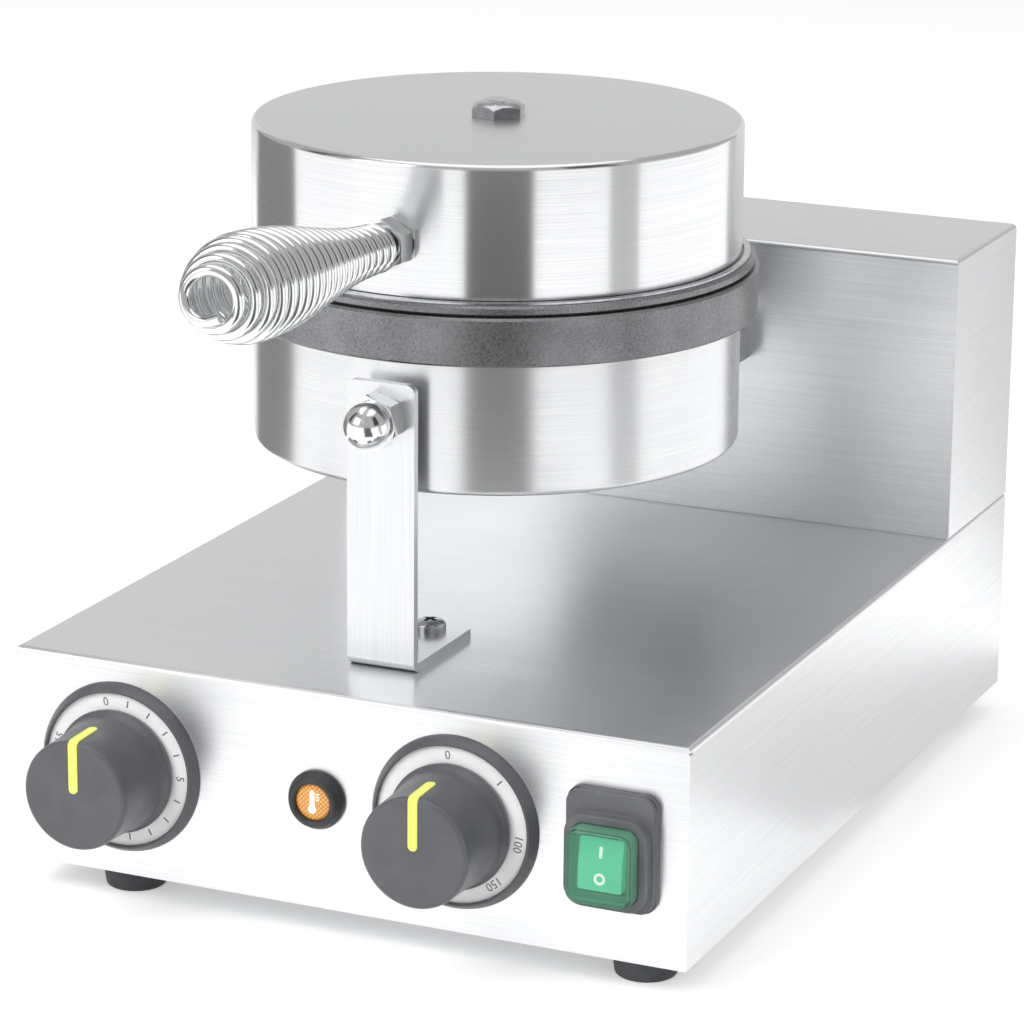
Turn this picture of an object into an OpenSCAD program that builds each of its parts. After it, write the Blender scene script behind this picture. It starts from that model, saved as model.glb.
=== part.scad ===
// Countertop waffle maker: a folded steel base and rear housing, a round lower
// pan on a front strip and a rear hinge bracket, and a hinged lid with a coil handle.
// Sizes are written from the base's own corner planes: x from the middle, y back
// from the front panel and z up from the base's lower edge. place() then puts
// the origin in the middle of the footprint, on the surface that the feet stand on.

/* [Base] */
// Width of the base, left to right
base_w = 250; // [240:2:280]
// Depth of the base, front to back
base_d = 330; // [325:5:380]
// Height of the base without its feet
base_h = 77; // [72:1:90]
// Thickness of the folded sheet
sheet = 1.2; // [0.8:0.1:1.5]
// Outside radius of the folded edges
fold_r = 2; // [1.7:0.1:3]
// Width of the inward flanges that the covers screw to
flange_w = 12; // [10:1:16]

/* [Rear housing] */
// Depth of the housing at the back
housing_d = 70; // [60:1:72]
// Height of the housing above the base
housing_h = 107; // [100:1:114]
// Height of the dark seam between housing and base
seam_h = 0.5; // [0.3:0.1:1]
// Thickness of the back cover
cover_t = 1.2; // [0.8:0.1:1.5]

/* [Feet] */
// Diameter of a foot at its top
foot_d = 24; // [20:1:28]
// Height of the feet with the bottom plate on them
foot_h = 11; // [9:0.5:14]
// Left feet, middle to the base's left side
foot_left_inset = 35; // [28:1:45]
// Right feet, middle to the base's right side
foot_right_inset = 22; // [18:1:40]
// Feet, middle to the base's front or back
foot_end_inset = 20; // [18:1:40]

/* [Pan] */
// Clear depth of the base's top in front of the pan
pan_front_gap = 38.5; // [36:0.5:44]
// Clear depth between the pan and the rear housing
pan_rear_gap = 50.5; // [50:0.5:56]
// Wall of the cans
can_wall = 1; // [0.8:0.1:1.2]
// Clear height between the base and the lower can
pan_lift = 61; // [58:1:66]
// Height of the lower can
lower_can_h = 46; // [44:1:50]
// Height of the upper can
upper_can_h = 46.5; // [44:0.5:52]
// Radius of the upper can's top edge
crown_r = 2; // [1.2:0.1:4]

/* [Baking plates] */
// Overhang of the lower plate's ring round the can
ring_over = 6; // [5:0.5:7]
// Height of the lower plate's ring
ring_h = 16.7; // [15:0.1:18]
// Overhang of the upper plate's rim round the can
rim_over = 4.5; // [3.5:0.5:5]
// Height of the upper plate's rim
rim_h = 3.5; // [3:0.1:5]
// Gap between the closed plates
parting = 0.3; // [0.2:0.1:0.5]
// Margin between the waffle cavity and the can's outside
cavity_margin = 3.5; // [3:0.5:6]
// Spacing of the waffle grid
grid_pitch = 20; // [17:1:24]
// Width of a grid groove at its mouth
groove_mouth = 9; // [7:0.5:11]
// Width of a grid groove at its floor
groove_floor = 5.5; // [4:0.5:6]

/* [Hinge] */
// Hinge pin behind the cans
hinge_gap = 22.5; // [22:0.5:25]
// Hinge pin above the lower plate's ring
pivot_lift = 1.3; // [0.5:0.1:3]
// Diameter of the hinge pin
pin_d = 8; // [6:0.5:9]
// Radial running clearance of the pin in the lid's lug
pin_gap = 0.05; // [0.03:0.01:0.09]
// Width of the lid's hinge lug
lug_w = 36; // [30:1:40]
// Sheet of the hinge bracket
hinge_sheet = 3; // [2.5:0.5:4]

/* [Front strip] */
// Width of the front strip
strip_w = 25; // [22:1:30]
// Thickness of the front strip
strip_t = 3; // [2.5:0.5:4]
// Length of the strip's foot
strip_foot = 46; // [42:1:52]
// Diameter of the pan's threaded studs
stud_d = 10; // [8:1:10]
// Width across flats of the studs' nuts
stud_af = 17; // [16:1:18]

/* [Handle] */
// Rise of the handle towards its end
handle_rise = 4; // [0:1:8]
// Length of the coil along its axis
coil_l = 122; // [110:1:130]
// Diameter of the coil's wire
wire_d = 4; // [3:0.1:4]
// Outside diameter of the coil at the nut
coil_root_d = 17; // [14:0.5:18]
// Outside diameter of the coil at its widest
coil_bulb_d = 35.5; // [30:1:40]
// Outside diameter of the coil at its end
coil_tip_d = 17.6; // [16:0.2:22]
// Curls of the coil
coil_curls = 21; // [14:1:23]

/* [Controls] */
// Height of the middle of the controls
control_z = 39; // [37:1:42]
// Timer knob from the middle, as a share of the base's width
timer_share = -0.336; // [-0.344:0.004:-0.332]
// Thermostat knob from the middle, as a share of the base's width
thermostat_share = 0.168; // [0.16:0.004:0.172]
// Pilot lamp from the middle, as a share of the base's width
pilot_share = -0.036; // [-0.048:0.004:-0.032]
// Switch from the middle, as a share of the base's width
switch_share = 0.396; // [0.392:0.004:0.404]
// Outside diameter of the dials
dial_d = 61; // [56:1:62]
// Outside diameter of the silver scales
scale_d = 55; // [52:1:56]
// Diameter of a knob at its skirt
knob_skirt_d = 44; // [42:1:46]
// Diameter of a knob at its face
knob_face_d = 38.5; // [35:0.5:41]
// Distance from the panel to a knob's face
knob_reach = 33; // [29:1:37]
// Outside diameter of the pilot lamp's bezel
pilot_d = 20.6; // [18:0.2:24]
// Diameter of the pilot lamp's lens
lens_d = 13; // [11:0.5:15]
// Width of the switch's frame
switch_w = 32; // [30:1:34]
// Height of the switch's frame
switch_h = 41; // [38:1:42]
// Width of the switch's clear cover
cover_w = 23.5; // [23:0.5:25]
// Height of the switch's clear cover
cover_h = 26; // [25:0.5:27]
// Distance from the panel to the clear cover's front
cover_reach = 14.5; // [12:0.5:15]
// Travel of the rocker, in degrees
rocker_tilt = 14; // [8:1:16]

/* [Conduit] */
// Outside diameter of the lid's flexible conduit
conduit_d = 9; // [8:0.5:10]
// Conduit, right of the middle
conduit_x = 36; // [34:1:40]
// Height of the lid's conduit fitting above the lid's rim
conduit_rise = 27; // [22:1:30]
// Radius of the conduit's bend
conduit_bend = 26; // [24:1:27]

/* [Hidden] */
$fn = 72;

// One overrun serves every cut
over = 1;
// Fine edges that catch the light
edge_r = 0.8;

// Places along the depth: the housing, the pan before it and the hinge between them
housing_y = base_d - housing_d;
can_d = housing_y - pan_front_gap - pan_rear_gap;
can_r = can_d / 2;
pan_y = pan_front_gap + can_r;
ring_d = can_d + 2 * ring_over;
rim_d = can_d + 2 * rim_over;
cavity_d = can_d - 2 * cavity_margin;
hinge_y = pan_y + can_r + hinge_gap;
// Places of the controls across the width
timer_x = timer_share * base_w;
thermostat_x = thermostat_share * base_w;
pilot_x = pilot_share * base_w;
switch_x = switch_share * base_w;
switch_drop = 2.8;
switch_z = control_z - switch_drop;
// Heights of the pan, from the base up to the lid
can_z0 = base_h + pan_lift;
ring_z0 = can_z0 + lower_can_h;
ring_z1 = ring_z0 + ring_h;
rim_z0 = ring_z1 + parting;
rim_z1 = rim_z0 + rim_h;
lid_z1 = rim_z1 + upper_can_h;
hinge_z = ring_z1 + pivot_lift;
housing_z1 = base_h + housing_h;
foot_xs = [-base_w / 2 + foot_left_inset, base_w / 2 - foot_right_inset];
foot_ys = [foot_end_inset, base_d - foot_end_inset];
stud_rise = 27;
stud_z = can_z0 + stud_rise;

// Shapes in the XZ plane get a thickness from y0 back to y1
module plate_y(y0, y1) translate([0, y1, 0]) rotate([90, 0, 0]) linear_extrude(y1 - y0) children();
// Shapes in the YZ plane get a thickness from x0 to x1
module plate_x(x0, x1) translate([x0, 0, 0]) rotate([90, 0, 90]) linear_extrude(x1 - x0) children();
// A round bar along Y
module rod_y(d, y0, y1, x = 0, z = 0) translate([x, y1, z]) rotate([90, 0, 0])
    cylinder(d = d, h = y1 - y0);
// A round bar along X
module rod_x(d, x0, x1, y = 0, z = 0) translate([x0, y, z]) rotate([0, 90, 0])
    cylinder(d = d, h = x1 - x0);
// A block between two corners
module block(low, high) translate(low) cube(high - low);
// A rectangle about its middle, with true round corners
module rounded(w, h, r) {
    square([w - 2 * r, h], center = true);
    square([w, h - 2 * r], center = true);
    for (x = [-1, 1], y = [-1, 1]) translate([x * (w / 2 - r), y * (h / 2 - r)]) circle(r);
}
// A hexagon across its flats
module hexagon(af) rotate(30) circle(d = af / cos(30), $fn = 6);
// A hexagonal nut blank with its corners turned off, standing on z = 0
module nut_blank(af, h) intersection() {
    linear_extrude(h) hexagon(af);
    rotate_extrude() polygon([[0, 0], [af / 2, 0], [af / cos(30) / 2, (af / cos(30) - af) / 4],
        [af / cos(30) / 2, h - (af / cos(30) - af) / 4], [af / 2, h], [0, h]]);
}
// A pan-head screw with a cross recess: its seat is z = 0 and its shank goes down
module pan_screw(d, head_d, head_h, l) {
    recess = head_d / 7;
    difference() {
        union() {
            cylinder(d = head_d, h = head_h / 2);
            translate([0, 0, head_h / 2]) rotate_extrude() polygon(concat([[0, 0]], [for (i = [0 : 6])
                [head_d / 2 * cos(i * 15), head_h / 2 * sin(i * 15)]]));
        }
        for (a = [0, 90]) rotate(a) translate([-head_d / 4, -recess / 2, head_h / 2])
            cube([head_d / 2, recess, head_h]);
    }
    translate([0, 0, -l]) cylinder(d = d, h = l);
}

// The base: one folded sheet with flanges at its lower and rear edges
module folded_outline(w, z0, z1, r) {
    translate([-w / 2, z0]) square([w, z1 - z0 - r]);
    translate([-w / 2 + r, z0]) square([w - 2 * r, z1 - z0]);
    for (x = [-1, 1]) translate([x * (w / 2 - r), z1 - r]) circle(r);
}
module folded_side(y0, y1, z0, z1, r) {
    translate([y0 + r, z0]) square([y1 - y0 - r, z1 - z0]);
    translate([y0, z0]) square([y1 - y0, z1 - z0 - r]);
    translate([y0 + r, z1 - r]) circle(r);
}
module folded_box(y0, y1, z0, z1, inset) intersection() {
    plate_y(y0 + inset, y1) folded_outline(base_w - 2 * inset, z0, z1 - inset, fold_r - inset);
    plate_x(-base_w / 2, base_w / 2) folded_side(y0 + inset, y1, z0, z1 - inset, fold_r - inset);
}
dial_hole_d = 10;
pilot_hole_d = 14;
cutout_w = 22;
cutout_h = 30;
strip_gap = 8.5;
strip_y = pan_front_gap - strip_gap;
strip_screw_d = 6;
strip_screw_shares = [0.37, 0.86];
strip_screw_ys = [for (share = strip_screw_shares) strip_y + strip_foot * share];
window_low = 64;
module base_shell() color("gainsboro") difference() {
    folded_box(0, base_d, 0, base_h, 0);
    folded_box(0, base_d - sheet, sheet, base_h, sheet);
    block([-base_w / 2 + flange_w, flange_w, -over], [base_w / 2 - flange_w, base_d - sheet, 2 * sheet]);
    block([-base_w / 2 + flange_w, base_d - 2 * sheet, flange_w],
        [base_w / 2 - flange_w, base_d + over, window_low]);
    block([-base_w / 2 + flange_w + fold_r, housing_y + flange_w + fold_r, base_h - 2 * sheet],
        [base_w / 2 - flange_w - fold_r, base_d - flange_w, base_h + over]);
    for (x = [timer_x, thermostat_x]) rod_y(dial_hole_d, -over, 2 * sheet, x, control_z);
    rod_y(pilot_hole_d, -over, 2 * sheet, pilot_x, control_z);
    translate([switch_x, 0, switch_z]) plate_y(-over, 2 * sheet)
        square([cutout_w, cutout_h], center = true);
    for (y = strip_screw_ys) translate([0, y, base_h - 2 * sheet])
        cylinder(d = strip_screw_d, h = 3 * sheet);
    for (x = bottom_screw_xs, y = bottom_screw_ys) translate([x, y, -over])
        cylinder(d = small_screw_d, h = 4 * sheet);
    for (p = cover_screws_low) rod_y(small_screw_d, base_d - 2 * sheet, base_d + over, p[0], p[1]);
    // Corner relief where the front, the top and the side meet
    for (x = [-1, 1]) translate([x * base_w / 2, 0, base_h - fold_r]) rotate([0, 45, 0])
        cube([sheet, 2 * fold_r, sheet / 2], center = true);
}

// Bottom plate with air slots, on the underside of the base's flanges
plate_t = 1;
plate_margin = 4;
small_screw_d = 3.5;
bottom_screw_xs = [-base_w / 2 + flange_w / 2 + sheet / 2, base_w / 2 - flange_w / 2 - sheet / 2];
bottom_screw_ys = [base_d / 6, base_d / 2, base_d * 5 / 6];
slot_w = 3;
slot_l = 50;
slot_pitch = 9;
slots = 7;
foot_screw_d = 5;
module bottom_plate() color("silver") difference() {
    block([-base_w / 2 + plate_margin, plate_margin, -plate_t],
        [base_w / 2 - plate_margin, base_d - plate_margin, 0]);
    for (side = [-1, 1], i = [0 : slots - 1])
        translate([side * base_w / 5, pan_y + (i - (slots - 1) / 2) * slot_pitch, -plate_t - over])
            linear_extrude(plate_t + 2 * over) rounded(slot_l, slot_w, slot_w / 2.01);
    for (x = foot_xs, y = foot_ys) translate([x, y, -plate_t - over])
        cylinder(d = foot_screw_d, h = plate_t + 2 * over);
    for (x = bottom_screw_xs, y = bottom_screw_ys) translate([x, y, -plate_t - over])
        cylinder(d = small_screw_d, h = plate_t + 2 * over);
}
small_head_d = 6.5;
small_head_h = 2;
small_screw_l = 8;
module bottom_screws() color("silver")
    for (x = bottom_screw_xs, y = bottom_screw_ys) translate([x, y, -plate_t]) mirror([0, 0, 1])
        pan_screw(small_screw_d, small_head_d, small_head_h, small_screw_l);

// Rubber feet with a recess for the screw's head
foot_taper = 1.5;
foot_web = 3;
foot_bore_d = 11;
module feet() color("#252525") for (x = foot_xs, y = foot_ys) translate([x, y, -foot_h]) rotate_extrude()
    polygon([[foot_bore_d / 2, 0], [foot_d / 2 - foot_taper - edge_r, 0],
        [foot_d / 2 - foot_taper, edge_r],
        [foot_d / 2, foot_h - plate_t], [foot_screw_d / 2, foot_h - plate_t],
        [foot_screw_d / 2, foot_h - plate_t - foot_web], [foot_bore_d / 2, foot_h - plate_t - foot_web]]);
foot_head_d = 9.5;
foot_head_h = 3.2;
foot_nut_af = 8;
foot_nut_h = 4;
module foot_screws() color("silver") for (x = foot_xs, y = foot_ys)
    translate([x, y, -plate_t - foot_web]) {
    mirror([0, 0, 1]) pan_screw(foot_screw_d, foot_head_d, foot_head_h, 0);
    cylinder(d = foot_screw_d, h = foot_web + plate_t + foot_nut_h + edge_r);
    translate([0, 0, foot_web + plate_t]) nut_blank(foot_nut_af, foot_nut_h);
}

// Rear housing: a folded box that stands on the base, open at the back
hinge_bolt_d = 6;
hinge_bolt_drop = 14;
hinge_bolt_lift = 12;
hinge_bolt_z = [stud_z - hinge_bolt_drop, stud_z + hinge_bolt_lift];
hinge_bolt_x = 12;
sleeve_rise = 10;
sleeve_z = can_z0 + sleeve_rise;
sleeve_d = 12;
elbow_w = 15;
elbow_drop = 19;
elbow_z = stud_z - elbow_drop;
elbow_bore = 6;
module rear_housing() color("gainsboro") difference() {
    folded_box(housing_y, base_d, base_h, housing_z1, 0);
    folded_box(housing_y, base_d - sheet, base_h + sheet, housing_z1, sheet);
    block([-base_w / 2 + flange_w, housing_y + flange_w, base_h - over],
        [base_w / 2 - flange_w, base_d + over, base_h + 2 * sheet]);
    block([-base_w / 2 + flange_w, base_d - 2 * sheet, base_h + flange_w],
        [base_w / 2 - flange_w, base_d + over, housing_z1 - flange_w]);
    // The seam: the walls stand in a little where they meet the base
    difference() {
        block([-base_w / 2 - over, housing_y - over, base_h - over],
            [base_w / 2 + over, base_d + over, base_h + seam_h]);
        block([-base_w / 2 + seam_h, housing_y + seam_h, base_h - 2 * over],
            [base_w / 2 - seam_h, base_d + 2 * over, base_h + 2 * seam_h]);
    }
    for (x = [-1, 1], z = hinge_bolt_z) rod_y(hinge_bolt_d, housing_y - over, housing_y + 2 * sheet,
        x * hinge_bolt_x, z);
    rod_y(sleeve_d, housing_y - over, housing_y + 2 * sheet, 0, sleeve_z);
    rod_y(stud_d, housing_y - over, housing_y + 2 * sheet, 0, stud_z);
    rod_y(elbow_bore, housing_y - over, housing_y + 2 * sheet, conduit_x, elbow_z);
    for (p = cover_screws_high) rod_y(small_screw_d, base_d - 2 * sheet, base_d + over, p[0], p[1]);
}

// Back cover over the open backs of base and housing
cover_margin = 3;
cover_z0 = cover_margin;
cover_z1 = housing_z1 - cover_margin;
cover_screw_x = base_w / 2 - flange_w / 2 - sheet / 2;
cover_screws_low = [for (x = [-1, 1], z = [flange_w / 2 + sheet, base_h / 2]) [x * cover_screw_x, z]];
cover_screws_high = [for (x = [-1, 1], z = [base_h + housing_h / 3,
    housing_z1 - flange_w / 2 - sheet]) [x * cover_screw_x, z]];
gland_share = 0.312;
gland_x = gland_share * base_w;
gland_z = 36;
gland_thread_d = 16;
vent_rows = 6;
vent_l = 56;
vent_w = 4;
vent_pitch = 10;
vent_share = 0.28;
vent_z = base_h + housing_h * vent_share;
module back_cover() color("gainsboro") difference() {
    translate([0, 0, (cover_z0 + cover_z1) / 2]) plate_y(base_d, base_d + cover_t)
        rounded(base_w - 2 * cover_margin, cover_z1 - cover_z0, fold_r);
    for (p = concat(cover_screws_low, cover_screws_high))
        rod_y(small_screw_d, base_d - over, base_d + cover_t + over, p[0], p[1]);
    rod_y(gland_thread_d, base_d - over, base_d + cover_t + over, gland_x, gland_z);
    for (side = [-1, 1], i = [0 : vent_rows - 1]) translate([side * base_w / 5, 0,
        vent_z + i * vent_pitch])
        plate_y(base_d - over, base_d + cover_t + over) rounded(vent_l, vent_w, vent_w / 2.01);
}
module cover_screws() color("silver") for (p = concat(cover_screws_low, cover_screws_high))
    translate([p[0], base_d + cover_t, p[1]]) rotate([-90, 0, 0])
        pan_screw(small_screw_d, small_head_d, small_head_h, small_screw_l);

// Cable gland at the back: an empty inlet for a round cable
gland_af = 20;
gland_flange = 5;
gland_cap_l = 12;
gland_cap_d = 17;
gland_bore_d = 8.5;
gland_tip_d = 12;
gland_inner = 9;
gland_end = base_d + cover_t + gland_flange + gland_cap_l;
module cable_gland() color("#2b2b2b") difference() {
    union() {
        translate([gland_x, base_d + cover_t, gland_z]) rotate([-90, 0, 0])
            nut_blank(gland_af, gland_flange);
        translate([gland_x, base_d + cover_t + gland_flange, gland_z]) rotate([-90, 0, 0])
            rotate_extrude()
            polygon([[0, 0], [gland_cap_d / 2, 0], [gland_cap_d / 2, gland_cap_l / 2],
                [gland_tip_d / 2, gland_cap_l], [0, gland_cap_l]]);
        rod_y(gland_thread_d, base_d - gland_inner, base_d + cover_t, gland_x, gland_z);
    }
    rod_y(gland_bore_d, base_d - gland_inner - over, gland_end + over, gland_x, gland_z);
}
gland_nut_h = 4.5;
gland_nut_af = 21;
module gland_nut() color("#2b2b2b") difference() {
    translate([gland_x, base_d - gland_nut_h, gland_z]) rotate([-90, 0, 0])
        nut_blank(gland_nut_af, gland_nut_h);
    rod_y(gland_thread_d, base_d - gland_nut_h - over, base_d + over, gland_x, gland_z);
}

// Front strip: an upright under the cap nut and a foot on the base
strip_over = 12.5;
strip_top = stud_z + strip_over;
strip_corner_r = 3;
strip_bend_r = 4;
module front_strip() color("gainsboro") difference() {
    union() {
        intersection() {
            plate_x(-strip_w / 2, strip_w / 2) folded_strip();
            translate([0, 0, (strip_top + base_h) / 2]) plate_y(strip_y, strip_y + strip_foot + over)
                rounded(strip_w, strip_top - base_h, strip_corner_r);
        }
        // The foot and the bend keep square lower edges
        intersection() {
            plate_x(-strip_w / 2, strip_w / 2) folded_strip();
            block([-strip_w / 2, strip_y, base_h], [strip_w / 2, strip_y + strip_foot,
                base_h + 2 * strip_bend_r]);
        }
    }
    rod_y(stud_d, strip_y - over, strip_y + strip_t + over, 0, stud_z);
    for (y = strip_screw_ys) translate([0, y, base_h - over])
        cylinder(d = strip_screw_d, h = strip_t + 2 * over);
}
module folded_strip() difference() {
    union() {
        translate([strip_y, base_h + strip_bend_r])
            square([strip_bend_r, strip_top - base_h - strip_bend_r]);
        translate([strip_y + strip_bend_r, base_h]) square([strip_foot - strip_bend_r, strip_bend_r]);
        translate([strip_y + strip_bend_r, base_h + strip_bend_r]) circle(strip_bend_r);
    }
    translate([strip_y + strip_t, base_h + strip_bend_r]) square([strip_foot, strip_top]);
    translate([strip_y + strip_bend_r, base_h + strip_t]) square([strip_foot, strip_top]);
    translate([strip_y + strip_bend_r, base_h + strip_bend_r]) circle(strip_bend_r - strip_t);
}
strip_head_d = 11;
strip_head_h = 4;
strip_screw_l = 10;
module strip_screws() color("silver") for (y = strip_screw_ys) translate([0, y, base_h + strip_t])
    rotate(y)
    pan_screw(strip_screw_d, strip_head_d, strip_head_h, strip_screw_l);

// Studs through the can's wall, with a spacer outside and a nut inside
spacer_d = 15;
can_front = pan_y - can_r;
can_back = pan_y + can_r;
module can_spacers() color("silver") difference() {
    union() {
        rod_y(spacer_d, strip_y + strip_t, can_front + can_wall, 0, stud_z);
        rod_y(spacer_d, can_back - can_wall, housing_y - hinge_sheet, 0, stud_z);
    }
    rod_y(stud_d, strip_y, housing_y, 0, stud_z);
    translate([0, pan_y, can_z0]) cylinder(r = can_r, h = lower_can_h, $fn = 144);
}
cap_h = 18;
cap_hex_h = 8;
cap_d = 16;
stud_nut_h = 8;
stud_seat = 1.6;
front_stud = [strip_y - cap_hex_h, can_front + can_wall + stud_seat + stud_nut_h];
rear_stud = [can_back - can_wall - stud_seat - stud_nut_h, housing_y + sheet + stud_nut_h];
module pan_studs() color("silver") {
    rod_y(stud_d, front_stud[0], front_stud[1], 0, stud_z);
    rod_y(stud_d, rear_stud[0], rear_stud[1], 0, stud_z);
}
module stud_nuts() color("silver") for (y = [can_front + can_wall + stud_seat,
    can_back - can_wall - stud_seat - stud_nut_h,
    housing_y + sheet]) difference() {
    translate([0, y, stud_z]) rotate([-90, 0, 0]) nut_blank(stud_af, stud_nut_h);
    rod_y(stud_d, y - over, y + stud_nut_h + over, 0, stud_z);
}
// Dome nut on the front stud
cap_turn = 12;
module cap_nut() color("white") difference() {
    translate([0, strip_y, stud_z]) rotate([90, 0, 0]) {
        rotate(cap_turn) nut_blank(stud_af, cap_hex_h);
        translate([0, 0, cap_hex_h]) cylinder(d = cap_d, h = cap_h - cap_hex_h - cap_d / 2);
        translate([0, 0, cap_h - cap_d / 2]) sphere(d = cap_d);
    }
    rod_y(stud_d, strip_y - cap_hex_h, strip_y + over, 0, stud_z);
}

// Hinge bracket on the housing's front: a web and two cheeks with the pin's bores
cheek_gap = 0.6;
cheek_x = lug_w / 2 + cheek_gap;
cheek_wall = 6;
cheek_r = pin_d / 2 + cheek_wall;
web_z0 = sleeve_z - sleeve_d;
web_z1 = housing_z1 - fold_r;
web_y = housing_y - hinge_sheet;
module cheek() {
    translate([hinge_y, hinge_z]) circle(cheek_r);
    difference() {
        translate([hinge_y - cheek_r, web_z0]) square([housing_y - hinge_y + cheek_r, hinge_z - web_z0]);
        // The cheeks step back below the plates' rims and the can
        translate([hinge_y - 2 * cheek_r, web_z0 - over]) square([cheek_r + edge_r, ring_z0 - web_z0]);
    }
    translate([hinge_y, hinge_z - cheek_r]) square([housing_y - hinge_y, cheek_r - (hinge_z - web_z1)]);
}
module hinge_bracket() color("silver") difference() {
    union() {
        block([-cheek_x - hinge_sheet, web_y, web_z0], [cheek_x + hinge_sheet, housing_y, web_z1]);
        for (x = [-cheek_x - hinge_sheet, cheek_x]) plate_x(x, x + hinge_sheet) cheek();
    }
    rod_x(pin_d, -base_w / 2, base_w / 2, hinge_y, hinge_z);
    for (x = [-1, 1], z = hinge_bolt_z) rod_y(hinge_bolt_d, web_y - over, housing_y + over,
        x * hinge_bolt_x, z);
    rod_y(stud_d, web_y - over, housing_y + over, 0, stud_z);
    rod_y(sleeve_d, web_y - over, housing_y + over, 0, sleeve_z);
}
hinge_head_d = 10;
hinge_head_h = 3.5;
hinge_nut_af = 10;
hinge_nut_h = 5;
module hinge_bolts() color("silver") for (x = [-1, 1], z = hinge_bolt_z) {
    translate([x * hinge_bolt_x, web_y, z]) rotate([90, 0, 0])
        pan_screw(hinge_bolt_d, hinge_head_d, hinge_head_h, hinge_sheet + sheet + hinge_nut_h + edge_r);
    difference() {
        translate([x * hinge_bolt_x, housing_y + sheet, z]) rotate([-90, 0, 0])
            nut_blank(hinge_nut_af, hinge_nut_h);
        rod_y(hinge_bolt_d, housing_y, housing_y + sheet + hinge_nut_h + over, x * hinge_bolt_x, z);
    }
}
// Sleeve that carries the lower pan's wires from the can to the housing
sleeve_wall = 1.2;
module wire_sleeve() color("silver") difference() {
    rod_y(sleeve_d, can_back - 4 * can_wall, housing_y + 3 * sheet, 0, sleeve_z);
    rod_y(sleeve_d - 2 * sleeve_wall, pan_y, base_d, 0, sleeve_z);
}
pin_over = 4;
clip_t = 0.8;
clip_d = 14;
pin_half = cheek_x + hinge_sheet + pin_over;
groove_depth = 0.6;
module hinge_pin() color("silver") difference() {
    rod_x(pin_d, -pin_half, pin_half, hinge_y, hinge_z);
    for (x = [-1, 1]) clip_ring(x, pin_d + over);
}
module clip_ring(side, d) {
    x0 = side > 0 ? cheek_x + hinge_sheet + edge_r / 4 : -cheek_x - hinge_sheet - edge_r / 4 - clip_t;
    difference() {
        rod_x(d, x0, x0 + clip_t, hinge_y, hinge_z);
        rod_x(pin_d - 2 * groove_depth, x0 - over, x0 + clip_t + over, hinge_y, hinge_z);
    }
}
module pin_clips() color("silver") for (x = [-1, 1]) clip_ring(x, clip_d);

// Cans: pressed cups of thin sheet, turned about the pan's axis
module can_profile(h, r) difference() {
    union() {
        square([can_r, h - r]);
        square([can_r - r, h]);
        translate([can_r - r, h - r]) circle(r);
    }
    translate([-over, -over]) {
        square([can_r - can_wall + over, h - can_wall - max(r - can_wall, 0) + over]);
        square([can_r - r + over, h - can_wall + over]);
    }
    if (r > can_wall) translate([can_r - r, h - r]) circle(r - can_wall);
}
bolt_d = 10;
module lower_can() color("gainsboro") difference() {
    translate([0, pan_y, ring_z0]) mirror([0, 0, 1]) rotate_extrude($fn = 144)
        can_profile(lower_can_h, crown_r);
    rod_y(stud_d, 0, base_d, 0, stud_z);
    rod_y(sleeve_d, pan_y, base_d, 0, sleeve_z);
    translate([0, pan_y, can_z0 - over]) cylinder(d = bolt_d, h = 4 * over);
}
handle_lift = 18.5;
handle_z = rim_z1 + handle_lift;
handle_stud_d = 8;
conduit_z = rim_z1 + conduit_rise;
module upper_can() color("gainsboro") difference() {
    translate([0, pan_y, rim_z1]) rotate_extrude($fn = 144) can_profile(upper_can_h, crown_r);
    handle_axis() translate([0, 0, -handle_stud_d]) cylinder(d = handle_stud_d, h = 2 * handle_stud_d);
    translate([0, pan_y, lid_z1 - 3 * over]) cylinder(d = bolt_d, h = 4 * over);
    rod_y(lid_gland_bore, pan_y, base_d, conduit_x, conduit_z);
}

// Baking plates: cast discs with a grooved grid inside a raised ring
grid_floor = 4.5;
grid_lug = 7;
spigot = 3;
spigot_r = can_r - can_wall - 4 * parting;
grid_lines = floor(cavity_d / 2 / grid_pitch);
groove_z0 = ring_z0 + grid_floor;
module groove_profile() polygon([[-groove_floor / 2, 0], [groove_floor / 2, 0],
    [groove_mouth / 2, grid_lug + over],
    [-groove_mouth / 2, grid_lug + over]]);
// The grid stands on z = 0, with its lugs up
module grid() difference() {
    translate([0, 0, -over]) cylinder(d = cavity_d, h = grid_lug + over, $fn = 144);
    intersection() {
        union() for (i = [-grid_lines : grid_lines], a = [0, 90]) rotate(a)
            translate([0, i * grid_pitch, 0]) rotate([90, 0, 90])
                translate([0, 0, -cavity_d / 2]) linear_extrude(cavity_d) groove_profile();
        cylinder(d = cavity_d - 2 * over, h = 2 * grid_lug, $fn = 144);
    }
}
module lower_plate() color("#4a4a4c") difference() {
    union() {
        translate([0, pan_y, 0]) {
            rotate_extrude($fn = 144) polygon([[cavity_d / 2 - over, ring_z0],
                [ring_d / 2 - edge_r, ring_z0],
                [ring_d / 2, ring_z0 + edge_r], [ring_d / 2, ring_z1 - edge_r],
                    [ring_d / 2 - edge_r, ring_z1],
                [cavity_d / 2 + grid_floor / 2, ring_z1], [cavity_d / 2, ring_z1 - grid_floor / 2]]);
            translate([0, 0, ring_z0 - spigot]) cylinder(r = spigot_r, h = spigot + grid_floor,
                $fn = 144);
            translate([0, 0, groove_z0]) grid();
        }
    }
    translate([0, pan_y, 0]) cylinder(d = bolt_d, h = groove_z0 - 1.5 * over);
}
bead_w = 2.2;
bead_h = 0.8;
casting_top = 14;
lug_recess = 1;
lug_t = 7;
link_y = can_back + 4 * parting;
ceiling_z = rim_z1 + grid_lug + lug_recess;
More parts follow.
